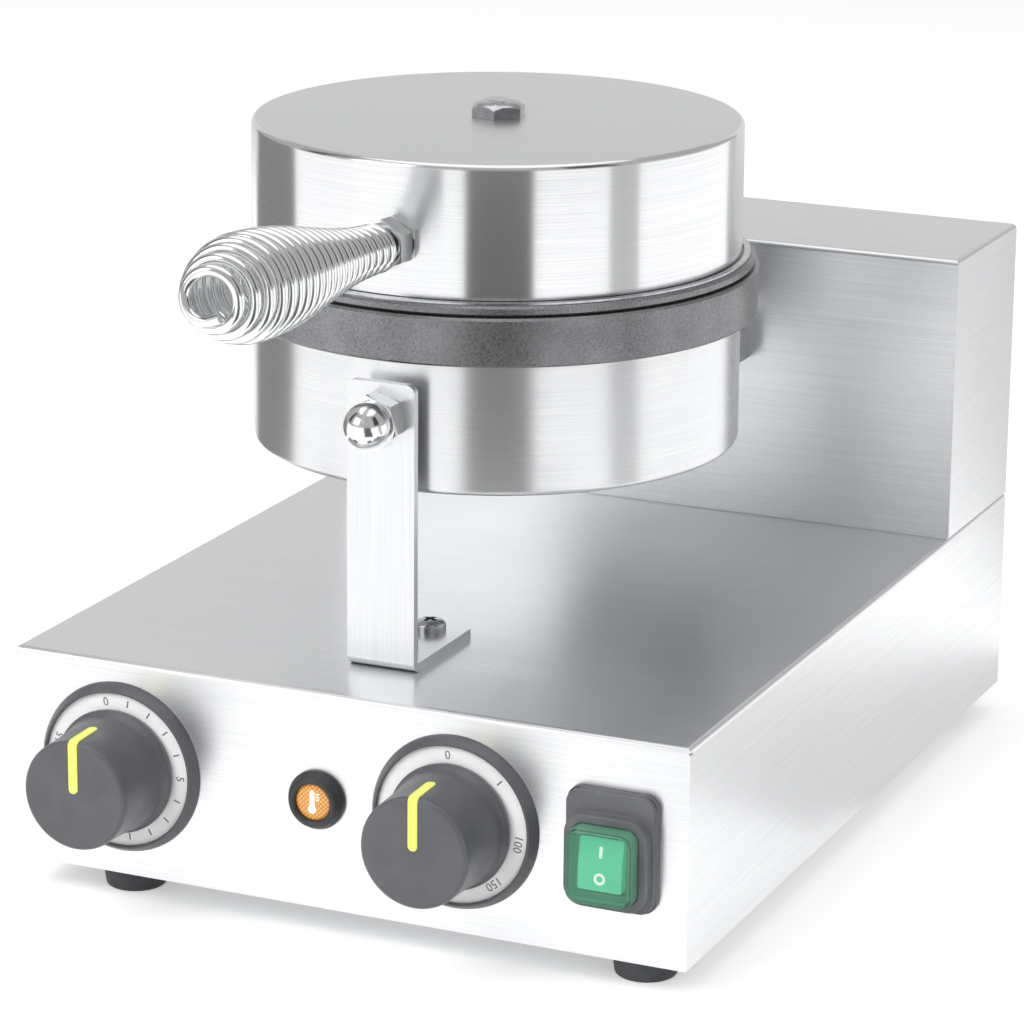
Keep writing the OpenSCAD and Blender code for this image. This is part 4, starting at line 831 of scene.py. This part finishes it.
@dataclass
class Conduit:
    """The ribbed metal hose that takes the lid's wires over the hinge."""

    x: float = 36.0
    top_z: float = 231.5
    lead: float = 9.0
    bend: float = 26.0
    radius: float = 4.5
    bore: float = 3.1
    rib_pitch: float = 2.6
    rib_depth: float = 0.7
    columns: int = 24
    rows_per_rib: int = 8
    # A stretch of the hose near the hinge, from its lower to its upper end
    blend_y: float = 232.0
    blend_z: tuple[float, float] = (172.0, 224.0)
    start_y: float = field(init=False)
    foot_z: float = field(init=False)

    def route(self, s: np.ndarray) -> np.ndarray:
        """Points at distances s: straight back, a quarter bend, straight down."""
        arc = np.pi / 2 * self.bend
        a = np.clip((s - self.lead) / arc, 0, 1) * np.pi / 2
        y = self.start_y + np.clip(s, None, self.lead) + self.bend * np.sin(a)
        z = self.top_z - self.bend * (1 - np.cos(a)) - np.clip(s - self.lead - arc, 0, None)
        return np.stack([np.full_like(s, self.x), y, z], axis=1)

    def build(self) -> None:
        """Builds the hose; its radius waves once per rib."""
        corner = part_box("conduit")[0]
        self.start_y = (corner.y - BODY_ORIGIN[1]) / MM
        self.foot_z = (corner.z - BODY_ORIGIN[2]) / MM
        length = self.lead + np.pi / 2 * self.bend + self.top_z - self.bend - self.foot_z
        ribs = int(length // self.rib_pitch)
        s = np.linspace(0, length, ribs * self.rows_per_rib + 1)
        wave = np.abs(np.sin(np.pi * s / length * ribs)) ** 0.6
        line = self.route(s)
        side = np.tile([1.0, 0.0, 0.0], (len(s), 1))
        outer = swept(line, side, self.radius - self.rib_depth * (1 - wave), self.columns)
        inner = swept(line, side, np.full(len(s), self.bore), self.columns)[::-1]
        piece = surface_piece("conduit_hose", np.concatenate([outer, inner]), closed_rows=True, sharp=60)
        Shop.dress(piece, Finish.BRIGHT)
        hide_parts("conduit")
        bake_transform(piece)
        LOG.info("piece %s blended, %d faces", piece.name, len(piece.data.polygons))


@dataclass
class Lettering:
    """Flat marks on a plane that faces the front: strokes and figures."""

    depth_mm: float
    thickness: float = 0.06
    parts: list[tuple[np.ndarray, np.ndarray]] = field(default_factory=list)

    def lay(self, flat: np.ndarray, faces: np.ndarray, x: float, z: float, turn: float = 0.0) -> None:
        """Adds a flat mark, turned clockwise from upright, with its own middle at x, z.

        Args:
            flat: the mark's points, right and up from its middle.
            faces: its faces, as corner indices.
            x: where its middle goes.
            z: the height of its middle.
            turn: degrees clockwise.
        """
        a = math.radians(turn)
        px = x + flat[:, 0] * math.cos(a) + flat[:, 1] * math.sin(a)
        pz = z - flat[:, 0] * math.sin(a) + flat[:, 1] * math.cos(a)
        self.parts.append((np.stack([px, np.full_like(px, -self.depth_mm), pz], axis=1), faces))

    def figure(self, text: str, size: float, x: float, z: float, turn: float) -> None:
        """Adds figures of a size with their middle at x, z, turned clockwise by turn degrees."""
        curve = bpy.data.curves.new("figure", "FONT")
        curve.body, curve.size = text, size
        curve.align_x, curve.align_y = "CENTER", "CENTER"
        curve.resolution_u = 3
        holder = put("figure", curve)
        bpy.context.view_layer.update()
        mesh = holder.to_mesh()
        flat = vectors(mesh.vertices, "co")[:, :2]
        mesh.calc_loop_triangles()
        faces = np.array([t.vertices[:] for t in mesh.loop_triangles])
        self.lay(flat - (flat.max(0) + flat.min(0)) / 2, faces, x, z, turn)
        holder.to_mesh_clear()
        bpy.data.objects.remove(holder)
        bpy.data.curves.remove(curve)

    def stroke(self, x: float, z: float, width: float, length: float, turn: float) -> None:
        """Adds a straight mark with its middle at x, z, its length turned clockwise from up."""
        corners = np.array([[-1, -1], [1, -1], [1, 1], [-1, 1]]) * np.array([width, length]) / 2
        self.lay(corners, np.array([[0, 1, 2], [0, 2, 3]]), x, z, turn)

    @staticmethod
    def circle(radius: float, count: int) -> np.ndarray:
        """Points of a circle about its middle."""
        a = np.linspace(0, 2 * np.pi, count, endpoint=False)
        return np.stack([radius * np.cos(a), radius * np.sin(a)], axis=1)

    def ring(self, x: float, z: float, outer: float, inner: float, count: int = 32) -> None:
        """Adds a round ring."""
        k = np.arange(count)
        n = (k + 1) % count
        faces = np.concatenate([np.stack([k, n, n + count], 1), np.stack([k, n + count, k + count], 1)])
        self.lay(np.concatenate([self.circle(outer, count), self.circle(inner, count)]), faces, x, z)

    def disc(self, x: float, z: float, radius: float, count: int = 24) -> None:
        """Adds a round spot."""
        k = np.arange(1, count - 1)
        self.lay(self.circle(radius, count), np.stack([np.zeros_like(k), k, k + 1], axis=1), x, z)

    def piece(self, name: str, pivot: Sequence[float] = (0.0, 0.0, 0.0),
              tilt: float = 0.0) -> bpy.types.Object:
        """Joins the marks into one flat piece with a little thickness.

        Args:
            name: the piece's name.
            pivot: a point on the left-right axis that the marks tilt about.
            tilt: how far they tilt, in radians.

        Returns:
            The new object.
        """
        starts = np.cumsum([0] + [len(p) for p, _ in self.parts[:-1]])
        faces = np.concatenate([f + s for (_, f), s in zip(self.parts, starts)])
        local = np.concatenate([p for p, _ in self.parts]) - np.array(pivot)
        c, s = math.cos(tilt), math.sin(tilt)
        points = np.array(pivot) + np.stack(
            [local[:, 0], local[:, 1] * c - local[:, 2] * s, local[:, 1] * s + local[:, 2] * c], 1)
        mesh = bpy.data.meshes.new(name)
        mesh.from_pydata(placed(points).tolist(), [], faces.tolist())
        with edited(mesh) as work:
            for face in work.faces:
                if face.normal.y > 0:
                    face.normal_flip()
        piece = put(name, mesh)
        body = piece.modifiers.new("ink_body", "SOLIDIFY")
        body.thickness = self.thickness * MM
        body.offset = 1.0
        return piece


@dataclass
class Control:
    """A dial with its scale, knob and printed marks."""

    name: str
    x: float
    marks: tuple[tuple[float, str], ...]
    z: float = 39.0
    dial_radius: float = 30.5
    scale_radius: float = 27.5
    mark_radius: float = 24.2
    hole: float = 5.0
    floor: float = 2.0
    scale_t: float = 0.6
    skirt_radius: float = 22.0
    face_radius: float = 19.25
    knob_start: float = 3.2
    reach: float = 33.0
    shaft_radius: float = 3.0
    shaft_seat: float = 14.0
    figure_mm: float = 4.2
    tick: tuple[float, float] = (0.5, 2.4)
    pointer_width: float = 3.4
    pointer_lift: float = 0.3
    pointer_drop: float = 15.5
    draft: float = 0.7
    flare: float = 1.9
    face_round: float = 3.0

    def round_piece(self, label: str, corners: Sequence[tuple[float, float, float]], finish: Finish,
                    body: str, slot: str, node: str, closed: bool = False, turns: int = 144) -> None:
        """Revolves a rounded section about the control's axis, which runs out of the panel."""
        profile = rounded_path(corners, steps=7, closed=closed)
        points = revolved(profile, (self.x, 0, self.z), (0, -1, 0), turns)
        piece = surface_piece(f"{self.name}_{label}", points, closed_rows=closed, sharp=32)
        settle(piece, finish, body, slot, node)

    def knob_profile(self) -> np.ndarray:
        """The knob's section: a shaft hole, a round-edged skirt, a flare and a rounded face.

        Above the skirt the radius is the tapered side plus a step that dies away
        as exp(-height / flare).
        """
        start, reach, skirt, face = self.knob_start, self.reach, self.skirt_radius, self.face_radius
        below = rounded_path([
            (0, start + self.shaft_seat, 0), (self.shaft_radius, start + self.shaft_seat, 0.1),
            (self.shaft_radius, start, 0.1), (skirt - 0.4, start, 0.5), (skirt, start + 2.2, 0),
        ], steps=6)
        height = np.linspace(0, reach - start - 5.6, 40)
        side = face + self.draft * (1 - height / (reach - start))
        edge = np.clip(1 - height / 1.6, 0, 1)
        step = (skirt - face - self.draft) * np.exp(-np.clip(height - 0.9, 0, None) / self.flare)
        hollow = 0.35 * (1 - edge) * np.exp(-height / 1.6)
        flank = np.stack([side + step - hollow, start + 2.2 + height], axis=1)
        crown = rounded_path(
            [tuple(flank[-1]) + (0,), (face, reach, self.face_round), (0, reach, 0)], steps=10)
        return np.concatenate([below[:-1], flank, crown[1:]])

    def pointer(self) -> None:
        """A raised strip from the face's middle over its edge and down the flank.

        It follows the knob's section, lifted along the section's normal; its half
        width falls as a circle does towards each end.
        """
        section, flat = self.knob_profile()[::-1], self.face_radius - self.face_round
        covered = (section[:, 1] > self.reach - self.pointer_drop) & (section[:, 0] > flat)
        line = np.concatenate([
            np.linspace([1.0, self.reach], [flat - 0.2, self.reach], 24), section[covered]])
        along = np.concatenate([[0.0], np.cumsum(np.linalg.norm(np.diff(line, axis=0), axis=1))])
        last, near = along[-1], 1.8
        stations = np.concatenate([np.linspace(0, near, 10), np.linspace(near, last - near, 46)[1:-1],
                                   np.linspace(last - near, last, 10)])
        path = np.stack([np.interp(stations, along, line[:, k]) for k in (0, 1)], axis=1)
        tangent = np.gradient(path, axis=0)
        tangent /= np.linalg.norm(tangent, axis=1, keepdims=True)
        path = path + np.stack([-tangent[:, 1], tangent[:, 0]], axis=1) * self.pointer_lift
        half = self.pointer_width / 2
        end = np.clip(np.minimum(stations, last - stations) / half, 0, 1)
        across = half * np.sqrt(np.clip(1 - (1 - end) ** 2, 0.004, 1))[:, None] * np.linspace(-1, 1, 9)[None]
        radius, height = path[:, 0][:, None] + 0 * across, path[:, 1][:, None] + 0 * across
        points = np.stack([self.x + across, -height, self.z + radius], axis=2)
        strip = surface_piece(f"{self.name}_pointer_strip", points, closed_columns=False, sharp=60)
        body = strip.modifiers.new("strip_body", "SOLIDIFY")
        body.thickness, body.offset = 0.6 * MM, -1.0
        settle(strip, Finish.POINTER, f"{self.name}_control", "pointer", f"{self.name}_pointer")

    def print_marks(self) -> None:
        """Prints the scale: figures stand upright to the middle, and ticks point to it."""
        print_layer = Lettering(self.floor + self.scale_t)
        for angle, text in self.marks:
            a = math.radians(angle)
            x, z = self.x + self.mark_radius * math.sin(a), self.z + self.mark_radius * math.cos(a)
            if text:
                print_layer.figure(text, self.figure_mm, x, z, angle)
            else:
                print_layer.stroke(x, z, *self.tick, angle)
        settle(print_layer.piece(f"{self.name}_marks"), Finish.PRINT, "base", "scale")

    def build(self) -> None:
        """Builds and dresses the control."""
        self.round_piece("dial_ring", [
            (self.hole, self.floor, 0), (self.scale_radius, self.floor, 0.1), (self.scale_radius, 4.0, 0.3),
            (self.scale_radius + 0.8, 4.0, 0.5), (self.dial_radius - 0.4, 1.2, 0.8), (self.dial_radius, 0, 0),
            (self.hole, 0, 0)][::-1], Finish.DIAL, "base", "knob_plastic", f"{self.name}_dial", True)
        top = self.floor + self.scale_t
        self.round_piece("scale_disc", [
            (self.face_radius, self.floor, 0), (self.scale_radius, self.floor, 0),
            (self.scale_radius, top, 0.15), (self.face_radius, top, 0)],
            Finish.SCALE, "base", "scale", f"{self.name}_scale", True)
        knob = revolved(self.knob_profile(), (self.x, 0, self.z), (0, -1, 0), 192)
        settle(surface_piece(f"{self.name}_knob_cap", knob, sharp=38), Finish.KNOB, f"{self.name}_control",
               "knob_plastic", f"{self.name}_knob")
        self.print_marks()
        self.pointer()


@dataclass
class Pilot:
    """The pilot lamp: a rounded bezel, an amber lens and a thermometer sign."""

    x: float = -9.0
    z: float = 39.0
    bezel_radius: float = 10.3
    lens_radius: float = 6.5
    height: float = 5.0
    lens_seat: float = 3.0
    lens_rise: float = 1.0
    ink: float = 0.08
    # The thermometer: height and size of its tube, cap and bulb, then its graduations
    tube: tuple[float, float, float] = (0.9, 1.7, 5.4)
    cap: tuple[float, float] = (3.6, 0.85)
    bulb: tuple[float, float] = (-2.3, 1.5)
    graduation: tuple[float, float, float, float] = (2.0, 1.2, 1.3, 0.4)

    def build(self) -> None:
        """Builds and dresses the lamp."""
        lens, rim, height = self.lens_radius, self.bezel_radius, self.height
        bezel = rounded_path([
            (lens, 0, 0), (lens, height - 0.8, 0.6), (lens + 0.9, height, 0.8),
            (rim - 1.6, height - 0.5, 2.2), (rim, 1.4, 1.2), (rim, 0, 0)], steps=8, closed=True)
        points = revolved(bezel, (self.x, 0, self.z), (0, -1, 0), 96)
        settle(surface_piece("pilot_bezel_ring", points, closed_rows=True, sharp=32, flip=True), Finish.NYLON,
               "base", "black_nylon", "pilot_bezel")
        a, edge = np.linspace(0, np.pi / 2, 10), lens - 0.05
        dome = np.concatenate([[[0, 0], [edge, 0]],
                               np.stack([edge * np.cos(a), self.lens_seat + self.lens_rise * np.sin(a)], 1)])
        points = revolved(dome, (self.x, 0, self.z), (0, -1, 0), 72)
        lens_piece = surface_piece("pilot_lens_dome", points, sharp=50)
        settle(lens_piece, Finish.LENS, "base", "amber_lens", "pilot_lens")
        sign = Lettering(self.lens_seat + self.lens_rise, self.ink)
        sign.stroke(self.x, self.z + self.tube[0], *self.tube[1:], 0)
        for middle, radius in (self.cap, self.bulb):
            sign.disc(self.x, self.z + middle, radius)
        right, first, *size = self.graduation
        for k in range(3):
            sign.stroke(self.x + right, self.z + first + k, *size, 0)
        settle(sign.piece("pilot_thermometer"), Finish.WHITE_PRINT, "base", "amber_lens")


@dataclass
class Switch:
    """The rocker switch: a rubber frame, a clear cover and the rocker with its marks."""

    x: float = 99.0
    z: float = 36.2
    trunnion: tuple[float, float, float] = (99.0, -4.0, 36.2)
    rest_tilt: float = 7.0
    inside: tuple[float, float] = (20.7, 23.2)
    opening: tuple[float, float] = (16.4, 19.8)
    floor: float = 9.4
    moulding: float = 1.5
    rocker_front: float = 11.8
    rocker_half: float = 8.9
    rocker_fall: float = 0.6
    cover_half: float = 11.75
    cover_ease: float = 0.12
    ink: float = 0.08
    # The marks: height, width and length of the bar; height and radii of the ring
    bar: tuple[float, float, float] = (4.2, 1.1, 3.8)
    ring: tuple[float, float, float] = (-4.8, 2.0, 1.1)
    mark_lift: float = 0.03

    def surround(self) -> bpy.types.Object:
        """The dark moulding round the rocker: a flat frame inside the cover."""
        outer = rounded_path([(x, z, 2.6) for x, z in self.corners(self.inside)], steps=6, closed=True)
        inner = rounded_path([(x, z, 0.6) for x, z in self.corners(self.opening)], steps=6, closed=True)
        front, back = self.floor, self.floor - self.moulding
        points = np.stack([
            np.stack([self.x + loop[:, 0], np.full(len(loop), -depth), self.z + loop[:, 1]], axis=1)
            for loop, depth in ((outer, front), (inner, front), (inner, back), (outer, back))])
        return surface_piece("switch_surround", points, closed_rows=True, sharp=30)

    @staticmethod
    def corners(size: tuple[float, float]) -> list[tuple[float, float]]:
        """The four corners of a rectangle of a size about its middle."""
        w, h = size[0] / 2, size[1] / 2
        return [(-w, -h), (w, -h), (w, h), (-w, h)]

    def build(self) -> None:
        """Builds and dresses the switch."""
        settle(skin_of("switch_frame", 30, 0.35), Finish.FRAME, "base", "rubber", "switch_frame")
        cover = skin_of("switch_cover", 30, 0.3)
        self.eased(cover)
        settle(cover, Finish.COVER, "base", "green_cover", "switch_cover")
        Shop.dress_faces(cover, Finish.COVER_EDGE, np.abs(vectors(cover.data.polygons, "normal")[:, 1]) < 0.9)
        settle(skin_of("switch_rocker", 30, 0.15), Finish.ROCKER, "rocker", "green_rocker", "switch_rocker")
        settle(self.surround(), Finish.SURROUND, "base", "green_cover")
        marks = Lettering(0.0, self.ink)
        marks.stroke(self.x, self.z + self.bar[0], *self.bar[1:], 0)
        marks.ring(self.x, self.z + self.ring[0], *self.ring[1:])
        for points, _ in marks.parts:
            fall = self.rocker_fall * np.abs(points[:, 2] - self.z) / self.rocker_half
            points[:, 1] = fall - self.rocker_front - self.mark_lift
        tilted = marks.piece("rocker_marks", self.trunnion, -math.radians(self.rest_tilt))
        settle(tilted, Finish.WHITE_PRINT, "rocker", "green_rocker")

    def eased(self, cover: bpy.types.Object) -> None:
        """Draws the cover in by a hair towards its middle, clear of the frame round it."""
        points = vectors(cover.data.vertices, "co")
        middle, share = placed(np.array([self.x, 0.0, self.z])), 1 - self.cover_ease / self.cover_half
        for axis in (0, 2):
            points[:, axis] = middle[axis] + (points[:, axis] - middle[axis]) * share
        cover.data.vertices.foreach_set("co", points.ravel())


@dataclass
class Hardware:
    """Everything else that keeps its CAD shape, by finish."""

    smooth: tuple[tuple[Finish, str, str, tuple[str, ...]], ...] = (
        (Finish.CHROME, "base", "chrome", ("cap_nut",)),
        (Finish.BRIGHT, "lid", "bright_steel", ("top_bolt",)),
        (Finish.BRIGHT, "base", "bright_steel", (
            "lower_bolt", "can_spacers", "pan_studs", "stud_nuts", "strip_screws", "bottom_screws",
            "foot_screws", "cover_screws", "hinge_bolts", "wire_sleeve", "hinge_pin", "pin_clips",
            "conduit_elbow")),
        (Finish.BRIGHT, "lid", "bright_steel", ("lid_gland",)),
        (Finish.ZINC, "base", "zinc_sheet", ("hinge_bracket", "bottom_plate")),
        (Finish.NYLON, "base", "black_nylon", ("cable_gland",)),
    )
    inside: dict[str, Finish] = field(default_factory=lambda: {
        "gland_nut": Finish.NYLON, "lower_heater": Finish.SHEATH, "upper_heater": Finish.SHEATH,
        "lower_clamp": Finish.ZINC, "upper_clamp": Finish.ZINC, "clamp_nuts_lower": Finish.BRIGHT,
        "clamp_nut_upper": Finish.BRIGHT, "handle_stud": Finish.BRIGHT, "thermostat_bulb": Finish.COPPER,
        "timer_shaft": Finish.BRIGHT, "thermostat_shaft": Finish.BRIGHT, "control_nuts": Finish.BRIGHT,
        "timer_body": Finish.CASING, "thermostat_body": Finish.CASING, "pilot_body": Finish.CASING,
        "switch_body": Finish.NYLON})

    def build(self) -> None:
        """Dresses the hardware."""
        for finish, body, slot, nodes in self.smooth:
            for node in nodes:
                settle(skin_of(node, 32, 0.15), finish, body, slot, node)
        for node, finish in self.inside.items():
            Shop.dress(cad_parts[node], finish)
            LOG.info("node %s dressed", node)


# ---------------------------------------------------------------- studio


@dataclass
class Lamp:
    """One soft area lamp."""

    name: str
    place: tuple[float, float, float]
    target: tuple[float, float, float]
    size: tuple[float, float]
    watts: float


@dataclass
class Card:
    """A reflection card that lies on the floor from near to far and then stands up.

    Azimuths run in degrees from straight ahead of the machine towards its right.
    The tone is the whole card's brightness, on which 1 is white.
    """

    name: str
    azimuths: tuple[float, float]
    near: float
    far: float
    heights: tuple[float, float]
    tone: float
    steps: int = 120
    lift: float = 0.002

    def points(self) -> np.ndarray:
        """Point = radius * (sin azimuth, -cos azimuth), over the floor and then up."""
        azimuth = np.radians(np.linspace(*self.azimuths, self.steps + 1))
        places = [(self.far, self.heights[0]), (self.far, self.heights[1])]
        if self.near < self.far:
            places.insert(0, (self.near, self.heights[0]))
        rows = [(r * np.sin(azimuth), -r * np.cos(azimuth), np.full_like(azimuth, z + self.lift))
                for r, z in places]
        return np.stack([np.stack(row, axis=1) for row in rows])


@dataclass
class Studio:
    """Camera, floor, lamps, reflection cards and world."""

    eye: tuple[float, float, float] = (0.5950, -1.3271, 0.5442)
    forward: tuple[float, float, float] = (-0.3897, 0.8770, -0.2811)
    up: tuple[float, float, float] = (-0.1220, 0.2534, 0.9596)
    lens: float = 149.4
    sensor: float = 36.0
    floor_size: float = 60.0
    # Light of its own that the floor shows to the eye and to metal, and the world's level
    floor_glow: tuple[float, float] = (0.38, 0.42)
    world_level: float = 0.46
    lamps: tuple[Lamp, ...] = (
        Lamp("key_lamp", (-1.0, -1.8, 1.8), (0, 0, 0.1), (1.6, 1.6), 44.0),
        Lamp("fill_lamp", (1.8, -1.2, 1.5), (0, 0, 0.1), (1.4, 1.4), 16.0),
        Lamp("top_lamp", (0.1, 0.3, 2.4), (0, 0, 0.1), (1.8, 1.8), 14.0),
    )
    # Plain papers, flags and a softbox round the object: only bright metal sees them
    cards: tuple[Card, ...] = (
        Card("white_paper", (-180.0, 180.0), 0.30, 1.30, (0.0, 0.28), 1.2),
        Card("dark_flag_front", (10.0, 40.0), 0.30, 1.28, (0.004, 0.28), 0.15),
        Card("dark_flag_left", (-125.0, -80.0), 0.30, 1.28, (0.004, 0.28), 0.25),
        Card("grey_flag_right", (75.0, 90.0), 0.30, 1.28, (0.004, 0.28), 0.6),
        Card("grey_paper_rear", (155.0, 220.0), 0.30, 1.28, (0.004, 0.28), 0.6),
        Card("grey_paper_right", (105.0, 180.0), 0.15, 0.30, (0.0, 0.001), 0.75),
        Card("rear_wall", (-195.0, -120.0), 1.25, 1.25, (0.0, 1.0), 0.75),
        Card("black_flag_left", (-75.0, -60.0), 1.0, 1.0, (0.38, 1.4), 0.05),
        Card("black_flag_right", (55.0, 80.0), 1.0, 1.0, (0.38, 1.4), 0.05),
        Card("front_softbox", (-45.0, -15.0), 1.1, 1.1, (0.42, 1.1), 2.2),
        Card("ceiling_paper", (-180.0, 180.0), 0.05, 0.80, (1.5, 1.501), 1.3),
    )

    def camera(self) -> None:
        """Makes the camera from its eye, forward and up vectors."""
        forward, up = Vector(self.forward).normalized(), Vector(self.up).normalized()
        right = forward.cross(up).normalized()
        up = right.cross(forward)
        data = bpy.data.cameras.new("photo_camera")
        data.lens, data.sensor_width = self.lens, self.sensor
        data.clip_start, data.clip_end = 0.05, 200.0
        camera = put("photo_camera", data)
        turn = Matrix((right, up, -forward)).transposed().to_4x4()
        camera.matrix_world = Matrix.Translation(Vector(self.eye)) @ turn
        bpy.context.scene.camera = camera

    @staticmethod
    def seen(tree: bpy.types.NodeTree) -> tuple[bpy.types.Node, bpy.types.NodeSocket]:
        """The light path node, and 1 where the eye sees a thing, also through glass."""
        path = add_node(tree, "ShaderNodeLightPath")
        either = add_node(tree, "ShaderNodeMath", {"operation": "MAXIMUM"}, {
            0: path.outputs["Is Camera Ray"], 1: path.outputs["Is Transmission Ray"]})
        return path, either.outputs[0]

    def floor(self) -> None:
        """A wide pale floor that glows to the eye and to metal, and keeps the shadow."""
        half = self.floor_size / 2
        mesh = bpy.data.meshes.new("studio_floor")
        corners = [(-half, -half, 0), (half, -half, 0), (half, half, 0), (-half, half, 0)]
        mesh.from_pydata(corners, [], [(0, 1, 2, 3)])
        floor = put("studio_floor", mesh)
        material, tree, shader, _ = open_material("pale_floor")
        shader.inputs["Base Color"].default_value = linear("#e9e9e9")
        shader.inputs["Roughness"].default_value = 0.9
        shader.inputs["Specular IOR Level"].default_value = 0.1
        path, seen = self.seen(tree)
        direct = add_node(tree, "ShaderNodeMath", {"operation": "MULTIPLY"}, {0: seen, 1: self.floor_glow[0]})
        glow = add_node(tree, "ShaderNodeMath", {"operation": "MULTIPLY_ADD"}, {
            0: path.outputs["Is Glossy Ray"], 1: self.floor_glow[1], 2: direct.outputs[0]})
        shader.inputs["Emission Color"].default_value = (1, 1, 1, 1)
        tree.links.new(glow.outputs[0], shader.inputs["Emission Strength"])
        mesh.materials.append(material)

    def card(self, card: Card) -> None:
        """Puts up one card that only reflections see."""
        points = card.points()
        mesh = bpy.data.meshes.new(card.name)
        faces = grid_faces(*points.shape[:2], False, False)
        mesh.from_pydata(points.reshape(-1, 3).tolist(), [], faces.tolist())
        paper = put(card.name, mesh)
        material, _, shader, _ = open_material(card.name)
        shader.inputs["Base Color"].default_value = (0, 0, 0, 1)
        shader.inputs["Specular IOR Level"].default_value = 0.0
        shader.inputs["Emission Color"].default_value = (1, 1, 1, 1)
        shader.inputs["Emission Strength"].default_value = card.tone
        mesh.materials.append(material)
        paper.visible_camera = paper.visible_diffuse = False
        paper.visible_shadow = paper.visible_transmission = False

    def lights(self) -> None:
        """Soft area lamps that point at the object."""
        for lamp in self.lamps:
            data = bpy.data.lights.new(lamp.name, "AREA")
            data.shape, data.energy = "RECTANGLE", lamp.watts
            data.size, data.size_y = lamp.size
            light = put(lamp.name, data)
            light.location = lamp.place
            light.visible_glossy = False
            aim = Vector(lamp.target) - Vector(lamp.place)
            light.rotation_euler = aim.to_track_quat("-Z", "Y").to_euler()

    def world(self) -> None:
        """White to the eye and through glass, and a softer grey for metal and for the light."""
        world = bpy.data.worlds.new("studio_world")
        world.use_nodes = True
        tree = world.node_tree
        tree.nodes.clear()
        strength = add_node(tree, "ShaderNodeMapRange", inputs={
            "Value": self.seen(tree)[1], "To Min": self.world_level, "To Max": 1.0})
        background = add_node(tree, "ShaderNodeBackground", inputs={
            "Color": (1, 1, 1, 1), "Strength": strength.outputs[0]})
        add_node(tree, "ShaderNodeOutputWorld", inputs={"Surface": background.outputs[0]})
        bpy.context.scene.world = world

    def build(self) -> None:
        """Sets up the studio."""
        bpy.context.scene.view_settings.view_transform = "Standard"
        self.camera()
        self.floor()
        self.lights()
        for card in self.cards:
            self.card(card)
        self.world()


TIMER_MARKS: tuple[tuple[float, str], ...] = tuple(
    (20.0 * minute - 10.0, str(minute) if minute % 5 == 0 else "") for minute in range(16))
THERMOSTAT_MARKS: tuple[tuple[float, str], ...] = (
    (-4.0, "0"), (45.0, ""), (98.5, "100"), (141.5, "150"), (184.5, "200"), (227.5, "250"), (270.5, "300"))


def main() -> None:
    """Builds the studio and every sub-assembly in order."""
    logging.basicConfig(level=logging.INFO, format="%(name)s: %(message)s")
    parts = [
        Studio(), Cabinet(), Pan(), CoilHandle(), Conduit(), Control("timer", -84.0, TIMER_MARKS),
        Control("thermostat", 42.0, THERMOSTAT_MARKS), Pilot(), Switch(), Hardware()]
    for part in parts:
        part.build()
        LOG.info("%s built", type(part).__name__)


if __name__ == "__main__":
    main()
